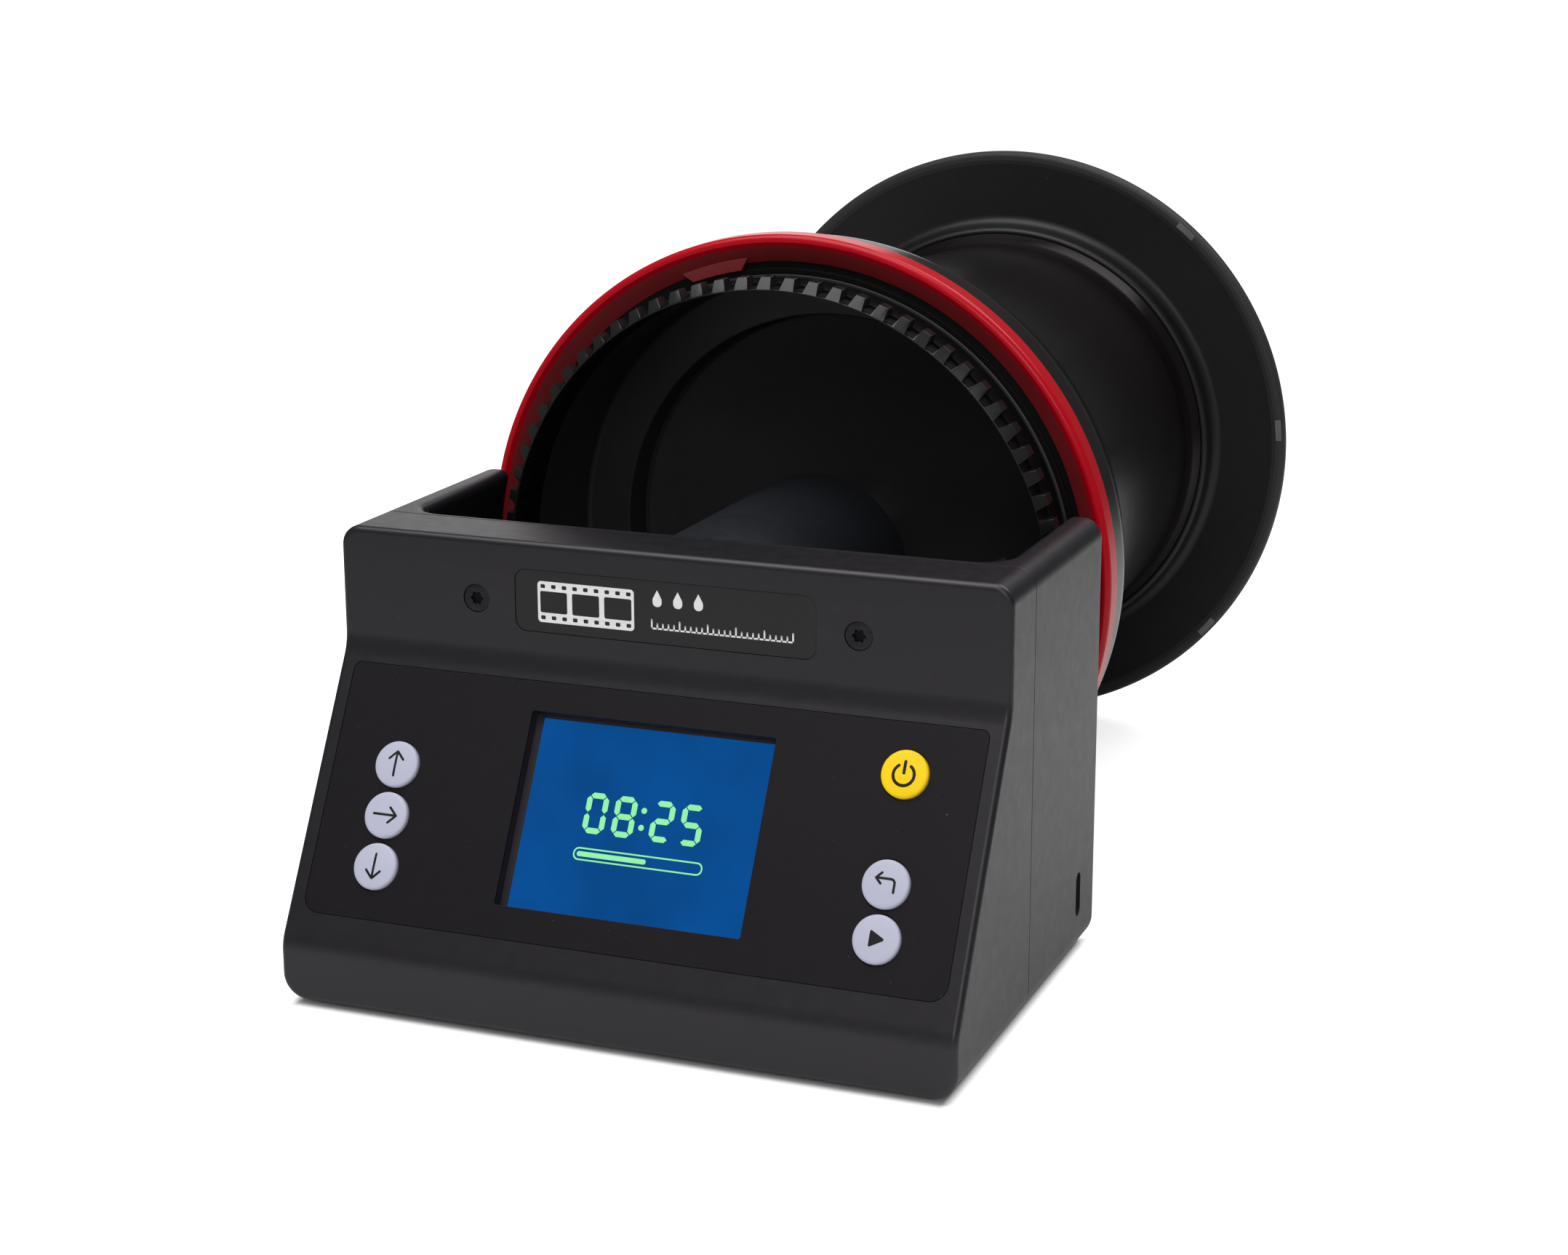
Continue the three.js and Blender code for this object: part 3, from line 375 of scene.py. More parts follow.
def place(obj, name, body, finish, nodes=(), weighted=True):
    """Names a finished shape, puts it in the row frame and lets it ride on its body."""
    obj.name = name
    obj.data.name = name
    obj.data.transform(TO_ROW)
    obj.data.materials.clear()
    obj.data.materials.append(finish)
    obj.data.polygons.foreach_set("use_smooth", [True] * len(obj.data.polygons))
    obj.data.set_sharp_from_angle(angle=SMOOTH_ANGLE)
    if weighted:
        modifier = obj.modifiers.new("even_normals", "WEIGHTED_NORMAL")
        modifier.keep_sharp = True
    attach(obj, body)
    if nodes:
        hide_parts(*nodes)
    return obj


# ---- Materials -----------------------------------------------------------------------------------


class Maker:
    """Short ways to add and link shader nodes."""

    def __init__(self, name):
        self.material = bpy.data.materials.new(name)
        self.material.use_nodes = True
        self.tree = self.material.node_tree
        self.shader = self.tree.nodes["Principled BSDF"]
        self.place = self.add("ShaderNodeTexCoord").outputs["Object"]

    def add(self, kind, **settings):
        node = self.tree.nodes.new(kind)
        for key, value in settings.items():
            setattr(node, key, value)
        return node

    def link(self, a, b):
        self.tree.links.new(a, b)

    def stretched(self, scale):
        """Object coordinates scaled on each axis."""
        node = self.add("ShaderNodeMapping")
        node.inputs["Scale"].default_value = scale
        self.link(self.place, node.inputs["Vector"])
        return node.outputs["Vector"]

    def noise(self, size, detail=3.0, rough=0.55, vector=None):
        """A noise whose spots are about size millimetres across."""
        node = self.add("ShaderNodeTexNoise")
        node.inputs["Scale"].default_value = 1 / (size * MM)
        node.inputs["Detail"].default_value = detail
        node.inputs["Roughness"].default_value = rough
        self.link(vector or self.place, node.inputs["Vector"])
        return node.outputs["Fac"]

    def span(self, value, low, high, out_low, out_high):
        """A value's range from low to high, mapped to another range."""
        node = self.add("ShaderNodeMapRange")
        for socket, number in zip(node.inputs[1:5], (low, high, out_low, out_high)):
            socket.default_value = number
        self.link(value, node.inputs["Value"])
        return node.outputs["Result"]

    def mix(self, factor, a, b):
        node = self.add("ShaderNodeMix", data_type="RGBA")
        self.give(node.inputs["Factor"], factor)
        for key, value in (("A", a), ("B", b)):
            socket = [s for s in node.inputs if s.name == key and s.type == "RGBA"][0]
            self.give(socket, value)
        return [s for s in node.outputs if s.type == "RGBA"][0]

    def give(self, socket, value):
        """Links a socket to another, or sets its number or colour."""
        if isinstance(value, bpy.types.NodeSocket):
            self.link(value, socket)
        elif isinstance(value, (tuple, list)) and socket.type == "RGBA":
            socket.default_value = (*value[:3], 1)
        elif not isinstance(value, (tuple, list)):
            single = socket.type == "VALUE"
            socket.default_value = value if single else (value,) * len(socket.default_value)

    def maths(self, operation, a, b):
        node = self.add("ShaderNodeMath", operation=operation)
        self.give(node.inputs[0], a)
        self.give(node.inputs[1], b)
        return node.outputs["Value"]

    def bump(self, heights):
        """Heights are (texture, millimetres high)."""
        normal = None
        for height, tall in heights:
            node = self.add("ShaderNodeBump")
            node.inputs["Strength"].default_value = 1.0
            node.inputs["Distance"].default_value = tall * MM
            self.link(height, node.inputs["Height"])
            if normal is not None:
                self.link(normal, node.inputs["Normal"])
            normal = node.outputs["Normal"]
        self.link(normal, self.shader.inputs["Normal"])


def shade(color, factor):
    return tuple(min(1.0, c * factor) for c in color)


def plastic(
    name,
    color,
    rough,
    grain=0.25,
    grain_tall=0.004,
    spread=0.10,
    wear=0.0,
    specks=0.0,
    gloss=0.5,
    tint=(1, 1, 1),
):
    """Moulded plastic: fine grain, soft unevenness of colour and gloss, dust specks and rubbed edges.

    The grain's size and height are in millimetres.
    """
    m = Maker(name)
    fine = m.noise(grain, 2.0)
    broad = m.noise(26, 3.0)
    middle = m.noise(3.2, 4.0, 0.65)
    tone = m.mix(m.span(broad, 0.3, 0.7, 0, 1), shade(color, 1 - spread), shade(color, 1 + spread))
    if specks:
        dust = m.noise(0.55, 1.0, 0.5)
        tone = m.mix(m.span(dust, 0.80, 0.86, 0, specks), tone, (0.5, 0.5, 0.5))
    if wear:
        edge = m.add("ShaderNodeNewGeometry").outputs["Pointiness"]
        exposed = m.span(edge, 0.52, 0.60, 0, wear)
        rubbed = m.maths("MULTIPLY", exposed, m.span(middle, 0.35, 0.65, 0.2, 1))
        tone = m.mix(rubbed, tone, shade(color, 3.0))
    m.link(tone, m.shader.inputs["Base Color"])
    m.link(m.span(middle, 0.3, 0.7, rough * 0.94, rough * 1.08), m.shader.inputs["Roughness"])
    m.shader.inputs["Specular IOR Level"].default_value = gloss
    m.shader.inputs["Specular Tint"].default_value = (*tint, 1)
    m.bump([(middle, grain_tall * 0.25), (fine, grain_tall)])
    return m.material


def metal(name, color, rough):
    """Machined or drawn metal with fine lines and faint stains."""
    m = Maker(name)
    spread = 0.12
    lines = m.noise(0.35, 3.0, 0.6, m.stretched((1, 12, 1)))
    stains = m.noise(5, 4.0, 0.6)
    tone = m.mix(m.span(stains, 0.3, 0.7, 0, 1), shade(color, 1 - spread), shade(color, 1 + spread))
    m.link(tone, m.shader.inputs["Base Color"])
    m.shader.inputs["Metallic"].default_value = 1.0
    m.link(m.span(lines, 0.2, 0.8, rough * 0.7, rough * 1.4), m.shader.inputs["Roughness"])
    m.bump([(lines, 0.004)])
    return m.material


def ink(name, color):
    """Printed ink with a slightly uneven tone."""
    m = Maker(name)
    rough = 0.5
    grain = m.noise(0.2, 2.0)
    tone = m.mix(m.span(grain, 0.3, 0.7, 0, 1), shade(color, 0.93), shade(color, 1.05))
    m.link(tone, m.shader.inputs["Base Color"])
    m.link(m.span(grain, 0.3, 0.7, rough * 0.9, rough * 1.1), m.shader.inputs["Roughness"])
    m.shader.inputs["Specular IOR Level"].default_value = 0.3
    m.bump([(grain, 0.003)])
    return m.material


def lit(name, color, strength, spread=0.1, size=22.0):
    """A lit display surface under a clear film."""
    m = Maker(name)
    cloud = m.noise(size, 2.0)
    tone = m.mix(m.span(cloud, 0.3, 0.7, 0, 1), shade(color, 1 - spread), shade(color, 1 + spread))
    dots = m.noise(0.3, 1.0)
    tone = m.mix(m.span(dots, 0.4, 0.6, 0, 0.12), tone, shade(color, 0.7))
    m.link(tone, m.shader.inputs["Emission Color"])
    m.shader.inputs["Emission Strength"].default_value = strength
    m.shader.inputs["Base Color"].default_value = (0.001, 0.001, 0.002, 1)
    m.shader.inputs["Specular IOR Level"].default_value = 0.12
    m.link(m.span(cloud, 0.2, 0.8, 0.10, 0.16), m.shader.inputs["Roughness"])
    return m.material


def circuit(name):
    """Green solder mask with faint tracks under it."""
    m = Maker(name)
    tracks = m.add("ShaderNodeTexBrick")
    tracks.inputs["Scale"].default_value = 260
    tracks.inputs["Mortar Size"].default_value = 0.03
    tracks.inputs["Color1"].default_value = (0.012, 0.075, 0.03, 1)
    tracks.inputs["Color2"].default_value = (0.016, 0.10, 0.04, 1)
    tracks.inputs["Mortar"].default_value = (0.03, 0.19, 0.08, 1)
    m.link(m.place, tracks.inputs["Vector"])
    m.link(tracks.outputs["Color"], m.shader.inputs["Base Color"])
    m.link(m.span(m.noise(2.0), 0.3, 0.7, 0.3, 0.45), m.shader.inputs["Roughness"])
    m.bump([(tracks.outputs["Fac"], 0.03)])
    return m.material


HOUSING = plastic(
    "housing_plastic",
    (0.0057, 0.0050, 0.0068),
    0.40,
    0.30,
    0.004,
    0.07,
    wear=0.6,
    specks=0.2,
    gloss=0.49,
    tint=(0.985, 0.945, 1),
)
OVERLAY = plastic(
    "overlay_film",
    (0.0062, 0.0054, 0.0068),
    0.50,
    0.16,
    0.010,
    0.08,
    specks=0.3,
    gloss=0.20,
    tint=(1, 0.95, 1),
)
LABEL = plastic("label_film", (0.0135, 0.0128, 0.013), 0.42, 0.2, 0.003, 0.06, specks=0.3, gloss=0.35)
GREY_KEY = plastic("grey_key_film", (0.485, 0.490, 0.615), 0.48, 0.32, 0.020, 0.03)
YELLOW_KEY = plastic("yellow_key_film", (0.99, 0.66, 0.004), 0.45, 0.32, 0.014, 0.04, gloss=0.25)
RED = plastic("red_plastic", (0.44, 0.0015, 0.010), 0.24, 0.5, 0.0006, 0.05, gloss=0.2)
# A darker, duller copy of the ring's red for its recessed cone and tabs: partly a duller surface, partly
# painted shade.
DULL_SHADED_RED = plastic("dull_shaded_red_plastic", (0.19, 0.008, 0.011), 0.48, 0.5, 0.004, 0.10, gloss=0.55)
# Near-black glossy tank plastic; the brown cast in its colour and gloss tint is partly painted reflection
# of the red ring.
TANK_GLOSS = plastic(
    "tank_gloss_plastic",
    (0.0050, 0.0039, 0.0038),
    0.21,
    2.0,
    0.0001,
    0.15,
    specks=0.1,
    gloss=0.23,
    tint=(1, 0.95, 0.95),
)
# Lighter than the funnel's own flange: painted light that makes up for the shade deep inside the funnel,
# on its centre column and on the reel clip.
FUNNEL_PAINTED_LIGHT = plastic("funnel_plastic_painted_light", (0.021, 0.021, 0.022), 0.45, 0.4, 0.003, 0.12)
GEAR = plastic("gear_plastic", (0.008, 0.008, 0.0085), 0.24, 0.4, 0.002, 0.12, wear=0.25, gloss=0.32)
DISC = plastic("disc_plastic", (0.0055, 0.0055, 0.0062), 0.42, 0.5, 0.003, 0.12, specks=0.15, gloss=0.3)
# Pale patches on the tyre's rim: painted highlights standing in for glints.
PAINTED_GLINT = plastic("rim_painted_glint", (0.11, 0.11, 0.12), 0.5, 0.3, 0.004, 0.2)
RUBBER = plastic("rubber", (0.010, 0.010, 0.0105), 0.62, 0.5, 0.010, 0.15)
SNOUT = plastic("snout_plastic", (0.011, 0.012, 0.016), 0.42, 0.4, 0.003, 0.08)
NYLON = plastic("nylon", (0.70, 0.68, 0.62), 0.38, 0.6, 0.006, 0.05)
SLEEVE = plastic("cell_sleeve", (0.035, 0.14, 0.29), 0.30, 1.0, 0.004, 0.06)
# Painted shade: a near-black stand-in for the dark in the screw sockets, in the toothed rim's bore and on
# the funnel's flange.
PAINTED_SHADE_BLACK = plastic("painted_shade_black_plastic", (0.003, 0.003, 0.003), 0.5, 0.5, 0.003, 0.1, gloss=0.12)
DARK = plastic("dark_plastic", (0.012, 0.012, 0.013), 0.45, 0.5, 0.006, 0.1)
BORDER = plastic("display_border_film", (0.017, 0.017, 0.023), 0.45, 0.5, 0.002, 0.05, gloss=0.4)
STEEL = metal("steel", (0.56, 0.56, 0.58), 0.28)
BLACK_STEEL = metal("black_steel", (0.035, 0.035, 0.038), 0.42)
BRONZE = metal("bronze", (0.42, 0.27, 0.11), 0.4)
GREY_PAINT = plastic("frame_paint", (0.075, 0.075, 0.085), 0.45, 0.4, 0.004, 0.06)
BLACK_INK = ink("black_ink", (0.005, 0.005, 0.006))
WHITE_INK = ink("white_ink", (0.86, 0.86, 0.86))
BLUE_LIGHT = lit("display_blue", (0.0, 0.070, 0.278), 1.0, 0.16)
GREEN_LIGHT = lit("display_green", (0.31, 0.93, 0.40), 1.0, 0.05, 8)
BOARD = circuit("circuit_board")


# ---- Housing -------------------------------------------------------------------------------------


def section(bottom):
    """The housing from the front, with its lower and upper corners rounded."""
    return rectangle(-HALF_WIDTH, HALF_WIDTH, bottom, TOP, 5.2, 4.2, 12)


def face_corners():
    """The housing's front as Y, Z and radius. It reaches past the top and the bottom, to be cut there."""
    slope = math.tan(TILT)
    under, over = -20, 130
    return [
        (NOSE, under, 0),
        (SEAM - SEAM_GAP / 2, under, 0),
        (SEAM - SEAM_GAP / 2, over, 0),
        (WALL_Y, over, 0),
        (WALL_Y, PANEL_Z + WALL_Y * slope, 10),
        (NOSE, PANEL_Z + NOSE * slope, 8),
    ]


def overlay_outline(grow):
    """The overlay's edge in the key panel, moved outwards."""
    half = 68.1 + grow
    return rectangle(-half, half, 0.5 - grow, 52.5 + grow, 3.5 + grow, 1.6 + grow, 10)


def window_outline():
    return rectangle(*WINDOW, 0.5)


def label_outline(grow):
    half = 32.15 + grow
    return rectangle(-half, half, 74.1 - grow, 86.8 + grow, 2.4 + grow)


def boss(x, y, low):
    """A post for a base screw, with its pilot hole still to be cut."""
    return rod_z(3.6, low, 11, x, y)


def pilot(x, y):
    return rod_z(1.5, 0, 9.5, x, y)


def base_opening(y0, y1, top):
    """Room for the base cover."""
    return box(-58.3, 58.3, y0, y1, 0, top)


def front_shell():
    seam = SEAM - SEAM_GAP / 2
    shell = prism_x(rounded(face_corners(), 10), -BEYOND, BEYOND)
    combine(shell, prism_y(section(FRONT_BOTTOM), -30, 70), "INTERSECT")
    round_edges(shell, lambda a, b: min(a.y, b.y) > seam - 0.01, SEAM_ROUND, 2)
    round_edges(shell, lambda a, b: max(a.y, b.y) < seam - 1, 1.3, 5)
    inner = inset(face_corners(), WALL)
    inner = [(y + (10 if y > SEAM - WALL - 1 else 0), z, r) for y, z, r in inner]
    hollow = prism_x(rounded(inner, 6), -HALF_WIDTH + WALL, HALF_WIDTH - WALL)
    combine(hollow, box(-BEYOND, BEYOND, -20, 80, FRONT_BOTTOM + WALL, TOP - WALL), "INTERSECT")
    combine(shell, hollow)
    combine(shell, base_opening(2.7, 60, FRONT_BOTTOM + WALL + 1))
    combine(shell, prism(overlay_outline(OVERLAY_GAP), -0.7, 4, ON_PANEL))
    combine(shell, prism(window_outline(), -WALL - 2, 1, ON_PANEL))
    for u, v in KEYS.values():
        combine(shell, rod_z(KEY_RADIUS + 0.25, -WALL - 2, 1, u, v, 48, ON_PANEL))
    combine(shell, prism_y(label_outline(LABEL_GAP), WALL_Y - 2, WALL_Y + 0.8))
    for side in (-1, 1):
        well = [(0, -2), (2.9, -2), (2.9, 0.65), (1.7, 2), (1.7, 5), (0, 5)]
        well = [(radius, WALL_Y + depth) for radius, depth in well]
        combine(shell, lathe(well, 48, side * SCREW_X, SCREW_Z))
        x, y = side * FRONT_BOSS[0], FRONT_BOSS[1]
        post = boss(x, y, 2.8)
        combine(post, box(*sorted((x, side * 68.9)), 7, 9, 6, 11), "UNION")
        combine(post, pilot(x, y))
        combine(shell, post, "UNION")
    return shell


def rear_cradle():
    front = SEAM + SEAM_GAP / 2
    body = prism_y(section(FRONT_BOTTOM), front, REAR)
    combine(body, box(-BEYOND, BEYOND, 0, 100, CRADLE_BOTTOM, 120), "INTERSECT")
    round_edges(body, lambda a, b: max(a.y, b.y) < front + 0.01, SEAM_ROUND, 2)
    round_edges(body, lambda a, b: min(a.y, b.y) > REAR - 0.01, 2.2, 5)
    pocket = [(0, POCKET_FRONT, 0), (POCKET_RADIUS, POCKET_FRONT, 6), (POCKET_RADIUS, 95, 0), (0, 95, 0)]
    combine(body, lathe(rounded(pocket, 8), 160))

    def on_rim(a, b):
        reach = max(math.hypot(p.x, p.z - AXIS_Z) for p in (a, b))
        return min(a.y, b.y) > POCKET_FRONT - 0.1 and reach < POCKET_RADIUS + 0.05

    round_edges(body, on_rim, 2.6, 6, 30)
    chamber = box(-68.4, 68.4, POCKET_FRONT, 87.4, CRADLE_BOTTOM + WALL, 60)
    combine(chamber, rod_y(POCKET_RADIUS + 4, 0, 100, 0, AXIS_Z, 96))
    combine(chamber, box(-100, 100, 79.5, 82, 0, 100))
    combine(body, chamber)
    combine(body, base_opening(40, 79.8, 2.7))
    for side in (-1, 1):
        for radius, y0, y1 in ((8.35, 83, 88.3), (2.3, 60, 92), (4.3, 41, 48.2)):
            combine(body, rod_y(radius, y0, y1, side * PINION_X, PINION_Z))
        combine(body, box(*sorted((side * 34, side * 56)), 53, 78, 0, 6.2))
        combine(body, rod_y(3.6, 30.1, front + 1, side * SCREW_X, SCREW_Z), "UNION")
        combine(body, rod_y(1.7, 0, 44.2, side * SCREW_X, SCREW_Z))
        x, y = side * REAR_BOSS[0], REAR_BOSS[1]
        combine(body, boss(x, y, 3.3), "UNION")
        combine(body, pilot(x, y))
    combine(body, prism_x(inlet_outline(1.6, 4.75, 1.55), HALF_WIDTH - 6, HALF_WIDTH + 6))
    return body


def inlet_outline(half_width, half_height, radius):
    y, z = INLET_Y, INLET_Z
    return rectangle(y - half_width, y + half_width, z - half_height, z + half_height, radius)


place(front_shell(), "front_moulding", "unit", HOUSING, ["front_shell"])
place(rear_cradle(), "rear_moulding", "unit", HOUSING, ["rear_cradle"])


# ---- Key panel -----------------------------------------------------------------------------------


def dome(radius):
    """Height of a key's top at a distance from its middle."""
    return KEY_TOP - KEY_DOME * (radius / KEY_RADIUS) ** 2


def key_cap(u, v):
    """A domed key with a rounded rim, and two tabs that hold it behind the panel."""
    deep = 3.7
    top = [(r, dome(r)) for r in (0, 0.8, 1.6, 2.4, 3.2, 3.8, 4.2)]
    rim = [(4.2 + 0.55 * math.sin(a), 0.30 + 0.565 * math.cos(a)) for a in (0.5, 0.9, 1.3, math.pi / 2)]
    profile = [(r, -h) for r, h in top + rim] + [(KEY_RADIUS, deep), (0, deep)]
    turn = ON_PANEL @ Matrix.Translation((u, v, 0)) @ Matrix.Rotation(-math.pi / 2, 4, "X")
    cap = lathe(profile, 72, turn=turn)
    tabs = prism(rectangle(u - 6.4, u + 6.4, v - 2, v + 2, 0.4), -deep, -2.9, ON_PANEL)
    return join([cap, tabs])


def on_dome(x, y):
    """Height of a legend's ink at a point on its key."""
    return dome(math.hypot(x, y)) + 0.012


def filled(outline, turn):
    """A solid mark on a key's dome, as rings of faces round its middle."""
    outline = finer(outline, 0.3)
    n = len(outline)
    cx, cy = sum(p[0] for p in outline) / n, sum(p[1] for p in outline) / n
    shares = (0.02, 0.35, 0.7, 1)
    points = [(cx + (x - cx) * s, cy + (y - cy) * s) for s in shares for x, y in outline]
    faces = [
        (r * n + k, (r + 1) * n + k, (r + 1) * n + (k + 1) % n, r * n + (k + 1) % n)
        for r in range(len(shares) - 1)
        for k in range(n)
    ]
    vertices = [turn @ Vector((x, y, on_dome(x, y))) for x, y in points]
    return mesh_object("filled", vertices, faces + [tuple(range(n))])


def legend(key, lines, width=0.5, fill=None):
    """A black mark of strokes or of one filled outline, lying on a key."""
    u, v = KEYS[key]
    turn = ON_PANEL @ Matrix.Translation((u, v, 0))
    made = ribbon(lines, width, on_dome, turn) if lines else filled(fill, turn)
    place(made, f"{key}_mark", key, BLACK_INK, weighted=False)


def arrow(degrees):
    turn = Matrix.Rotation(math.radians(degrees), 2)
    shaft = [(0, -2.45), (0, 2.45)]
    head = [(-1.55, 0.95), (0, 2.55), (1.55, 0.95)]
    return [[tuple(turn @ Vector(p)) for p in line] for line in (shaft, head)]


for name, (u, v) in KEYS.items():
    power = name == "key_power"
    finish, slot = (YELLOW_KEY, "power_key") if power else (GREY_KEY, "grey_key")
    place(key_cap(u, v), f"{name}_cap", name, finish, [name])
legend("key_up", arrow(0))
legend("key_right", arrow(-90))
legend("key_down", arrow(180))
legend("key_power", [arc(0, -0.25, 2.1, 125, 415), [(0, 0.1), (0, 2.35)]], 0.62)
back_shaft = [(1.9, -1.5), (1.9, 0.2)] + arc(1.1, 0.2, 0.8, 0, 90, 6) + [(-1.9, 1.0)]
back_head = [(-0.85, 2.05), (-1.95, 1.0), (-0.85, -0.05)]
legend("key_back", [back_shaft, back_head])
play = rounded([(-1.25, -1.75, 0.25), (2.0, 0, 0.3), (-1.25, 1.75, 0.25)], 4)
legend("key_start", [], fill=play)

holes = [circle(u, v, KEY_RADIUS + 0.2, 64) for u, v in KEYS.values()]
overlay = sheet([overlay_outline(0), window_outline()] + holes, -0.6, 0.0, 0.08, ON_PANEL)
place(overlay, "overlay_sheet", "unit", OVERLAY, ["keypad_overlay"])

label = sheet([label_outline(0)], -0.65, -0.15, 0.05, ON_WALL)
place(label, "label_sheet", "unit", LABEL, ["label_plate"])


def film_icon(x0, x1, z0, z1):
    """A strip of film with three frames and two rows of perforations."""
    outlines = [rectangle(x0, x1, z0, z1, 0.8)]
    pitch = (x1 - x0) / 3
    for i in range(3):
        left = x0 + i * pitch
        outlines.append(rectangle(left + 0.55, left + pitch - 0.55, z0 + 2.0, z1 - 2.0, 0.4))
    for i in range(9):
        x = x0 + (i + 0.5) * (x1 - x0) / 9
        for z in (z0 + 1.0, z1 - 1.0):
            outlines.append(rectangle(x - 0.5, x + 0.5, z - 0.4, z + 0.4, 0.2, None, 3))
    return outlines


def ruler(x0, x1, z, long_every, count):
    """A base line with upright ticks, some of them longer."""
    lines = [[(x0, z), (x1, z)]]
    for i in range(count + 1):
        x = x0 + (x1 - x0) * i / count
        lines.append([(x, z), (x, z + (1.7 if i % long_every == 0 else 0.95))])
    return lines


LABEL_INK = (-0.165, -0.135)  # the ink's depth, just over the label's face
INK_EDGE = 0.004
strip = sheet(film_icon(-27.2, -6.2, 76.2, 84.6), *LABEL_INK, INK_EDGE, ON_WALL)
place(strip, "label_film_mark", "unit", WHITE_INK)
scale = ribbon(ruler(-2.4, 27.4, 77.2, 5, 25), 0.34, lambda x, y: LABEL_INK[1], ON_WALL)
place(scale, "label_scale_mark", "unit", WHITE_INK, weighted=False)
drops = []
for i in range(3):
    x = -1.2 + 4.4 * i
    foot = [(x - 1.0, 81.6, 0.9), (x + 1.0, 81.6, 0.9)]
    drops.append(rounded([*foot, (x + 0.95, 83.2, 0.5), (x, 85.0, 0.05), (x - 0.95, 83.2, 0.5)], 5))
drop_marks = sheet(drops, *LABEL_INK, INK_EDGE, ON_WALL)
place(drop_marks, "label_drop_marks", "unit", WHITE_INK)


# ---- Display -------------------------------------------------------------------------------------

left, right, low, high = PICTURE
panel = rectangle(left + 0.5, right + 0.4, low - 0.2, high + 0.5, 0.2)
module = sheet([panel], SCREEN_DEPTH - 2.4, SCREEN_DEPTH, 0.05, ON_PANEL)
place(module, "display_module", "unit", DARK)
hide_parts("lcd_screen")
margin = rectangle(left - 2.6, right + 0.5, low - 0.3, high + 1.9, 0.2)
border = sheet([margin], SCREEN_DEPTH - 0.03, SCREEN_DEPTH + 0.01, 0.005, ON_PANEL)
place(border, "display_border", "unit", BORDER)
active = sheet([rectangle(*PICTURE)], SCREEN_DEPTH + 0.02, SCREEN_DEPTH + 0.04, 0.005, ON_PANEL)
place(active, "display_picture", "unit", BLUE_LIGHT)

SEGMENTS = {"0": "abcdef", "2": "abged", "5": "afgcd", "8": "abcdefg"}


def digit(character, x, y, width, height, bar):
    """A seven-bar figure as outlines."""
    half, mid = bar / 2, y + height / 2
    flats = {"a": y + height - half, "g": mid, "d": y + half}
    outlines = []
    for name in SEGMENTS[character]:
        if name in flats:
            at = flats[name]
            left, right = x + bar * 0.62, x + width - bar * 0.62
            below = [(left, at), (left + half, at - half), (right - half, at - half)]
            above = [(right, at), (right - half, at + half), (left + half, at + half)]
            outlines.append(below + above)
        else:
            at = x + half if name in "ef" else x + width - half
            low, high = (y + half, mid) if name in "ce" else (mid, y + height - half)
            low, high = low + bar * 0.12, high - bar * 0.12
            rising = [(at, low), (at + half, low + half), (at + half, high - half)]
            falling = [(at, high), (at - half, high - half), (at - half, low + half)]
            outlines.append(rising + falling)
    return outlines


def pill(x0, x1, y0, y1, radius, steps):
    """An outline given from the middle of the display's figures."""
    return rectangle(SCREEN_U + x0, SCREEN_U + x1, SCREEN_V + y0, SCREEN_V + y1, radius, None, steps)


timer = []
for i, character in enumerate("0825"):
    after_colon = 1.9 if i > 1 else 0
    timer += digit(character, SCREEN_U - 12.6 + 6.2 * i + after_colon, SCREEN_V - 2.6, 4.7, 8.2, 1.15)
timer += [circle(SCREEN_U - 0.12, SCREEN_V + d, 0.6, 16) for d in (-0.2, 3.2)]
timer.append(pill(-12.6, 2.2, -7.3, -6.3, 0.45, 4))
timer.append(pill(-13.4, 14.2, -8.1, -5.5, 1.2, 6))
timer.append(pill(-13.1, 13.9, -7.8, -5.8, 0.95, 6))
figures = sheet(timer, SCREEN_DEPTH + 0.05, SCREEN_DEPTH + 0.07, INK_EDGE, ON_PANEL)
place(figures, "display_figures", "unit", GREEN_LIGHT)


# ---- Screws, feet, base, inlet -------------------------------------------------------------------


def star(x, y, reach):
    """A six-lobed socket's outline."""
    count = 48
    points = []
    for k in range(count):
        a = 2 * math.pi * k / count
        r = reach * (0.86 + 0.14 * math.cos(6 * a))
        points.append((x + r * math.cos(a), y + r * math.sin(a)))
    return points


SIDES = ((-1, "left"), (1, "right"))
for side, word in SIDES:
    x, z = side * SCREW_X, SCREW_Z
    socket = star(x, z, 1.4)
    head = sheet([circle(x, z, 2.82, 64), socket], -0.75, -0.15, 0.12, ON_WALL, 3)
    neck = sheet([circle(x, z, 1.85, 48), socket], -1.75, -0.7, 0.02, ON_WALL)
    # The shank seen through the socket is near-black: painted shade in the socket.
    shank = rod_y(1.4, WALL_Y + 0.8, 41.5, x, z)
    screw = join([head, neck])
    place(shank, f"shell_screw_{word}_shank", "unit", PAINTED_SHADE_BLACK)
    place(screw, f"shell_screw_{word}_part", "unit", BLACK_STEEL, [f"shell_screw_{word}"])

foot_corners = [(0, -1.6, 0), (6, -1.6, 0), (6, 0, 0.35), (4.2, 0, 0.3), (3.8, -0.25, 0.3), (0, -0.25, 0)]
for where, y in (("front", 12), ("rear", 70)):
    for side, word in SIDES:
        turn = Matrix.Translation((side * 44, y, 0)) @ Matrix.Rotation(-math.pi / 2, 4, "X")
        foot = lathe(rounded(foot_corners, 3), 64, turn=turn)
        place(foot, f"foot_{where}_{word}_pad", "unit", RUBBER, [f"foot_{where}_{word}"])

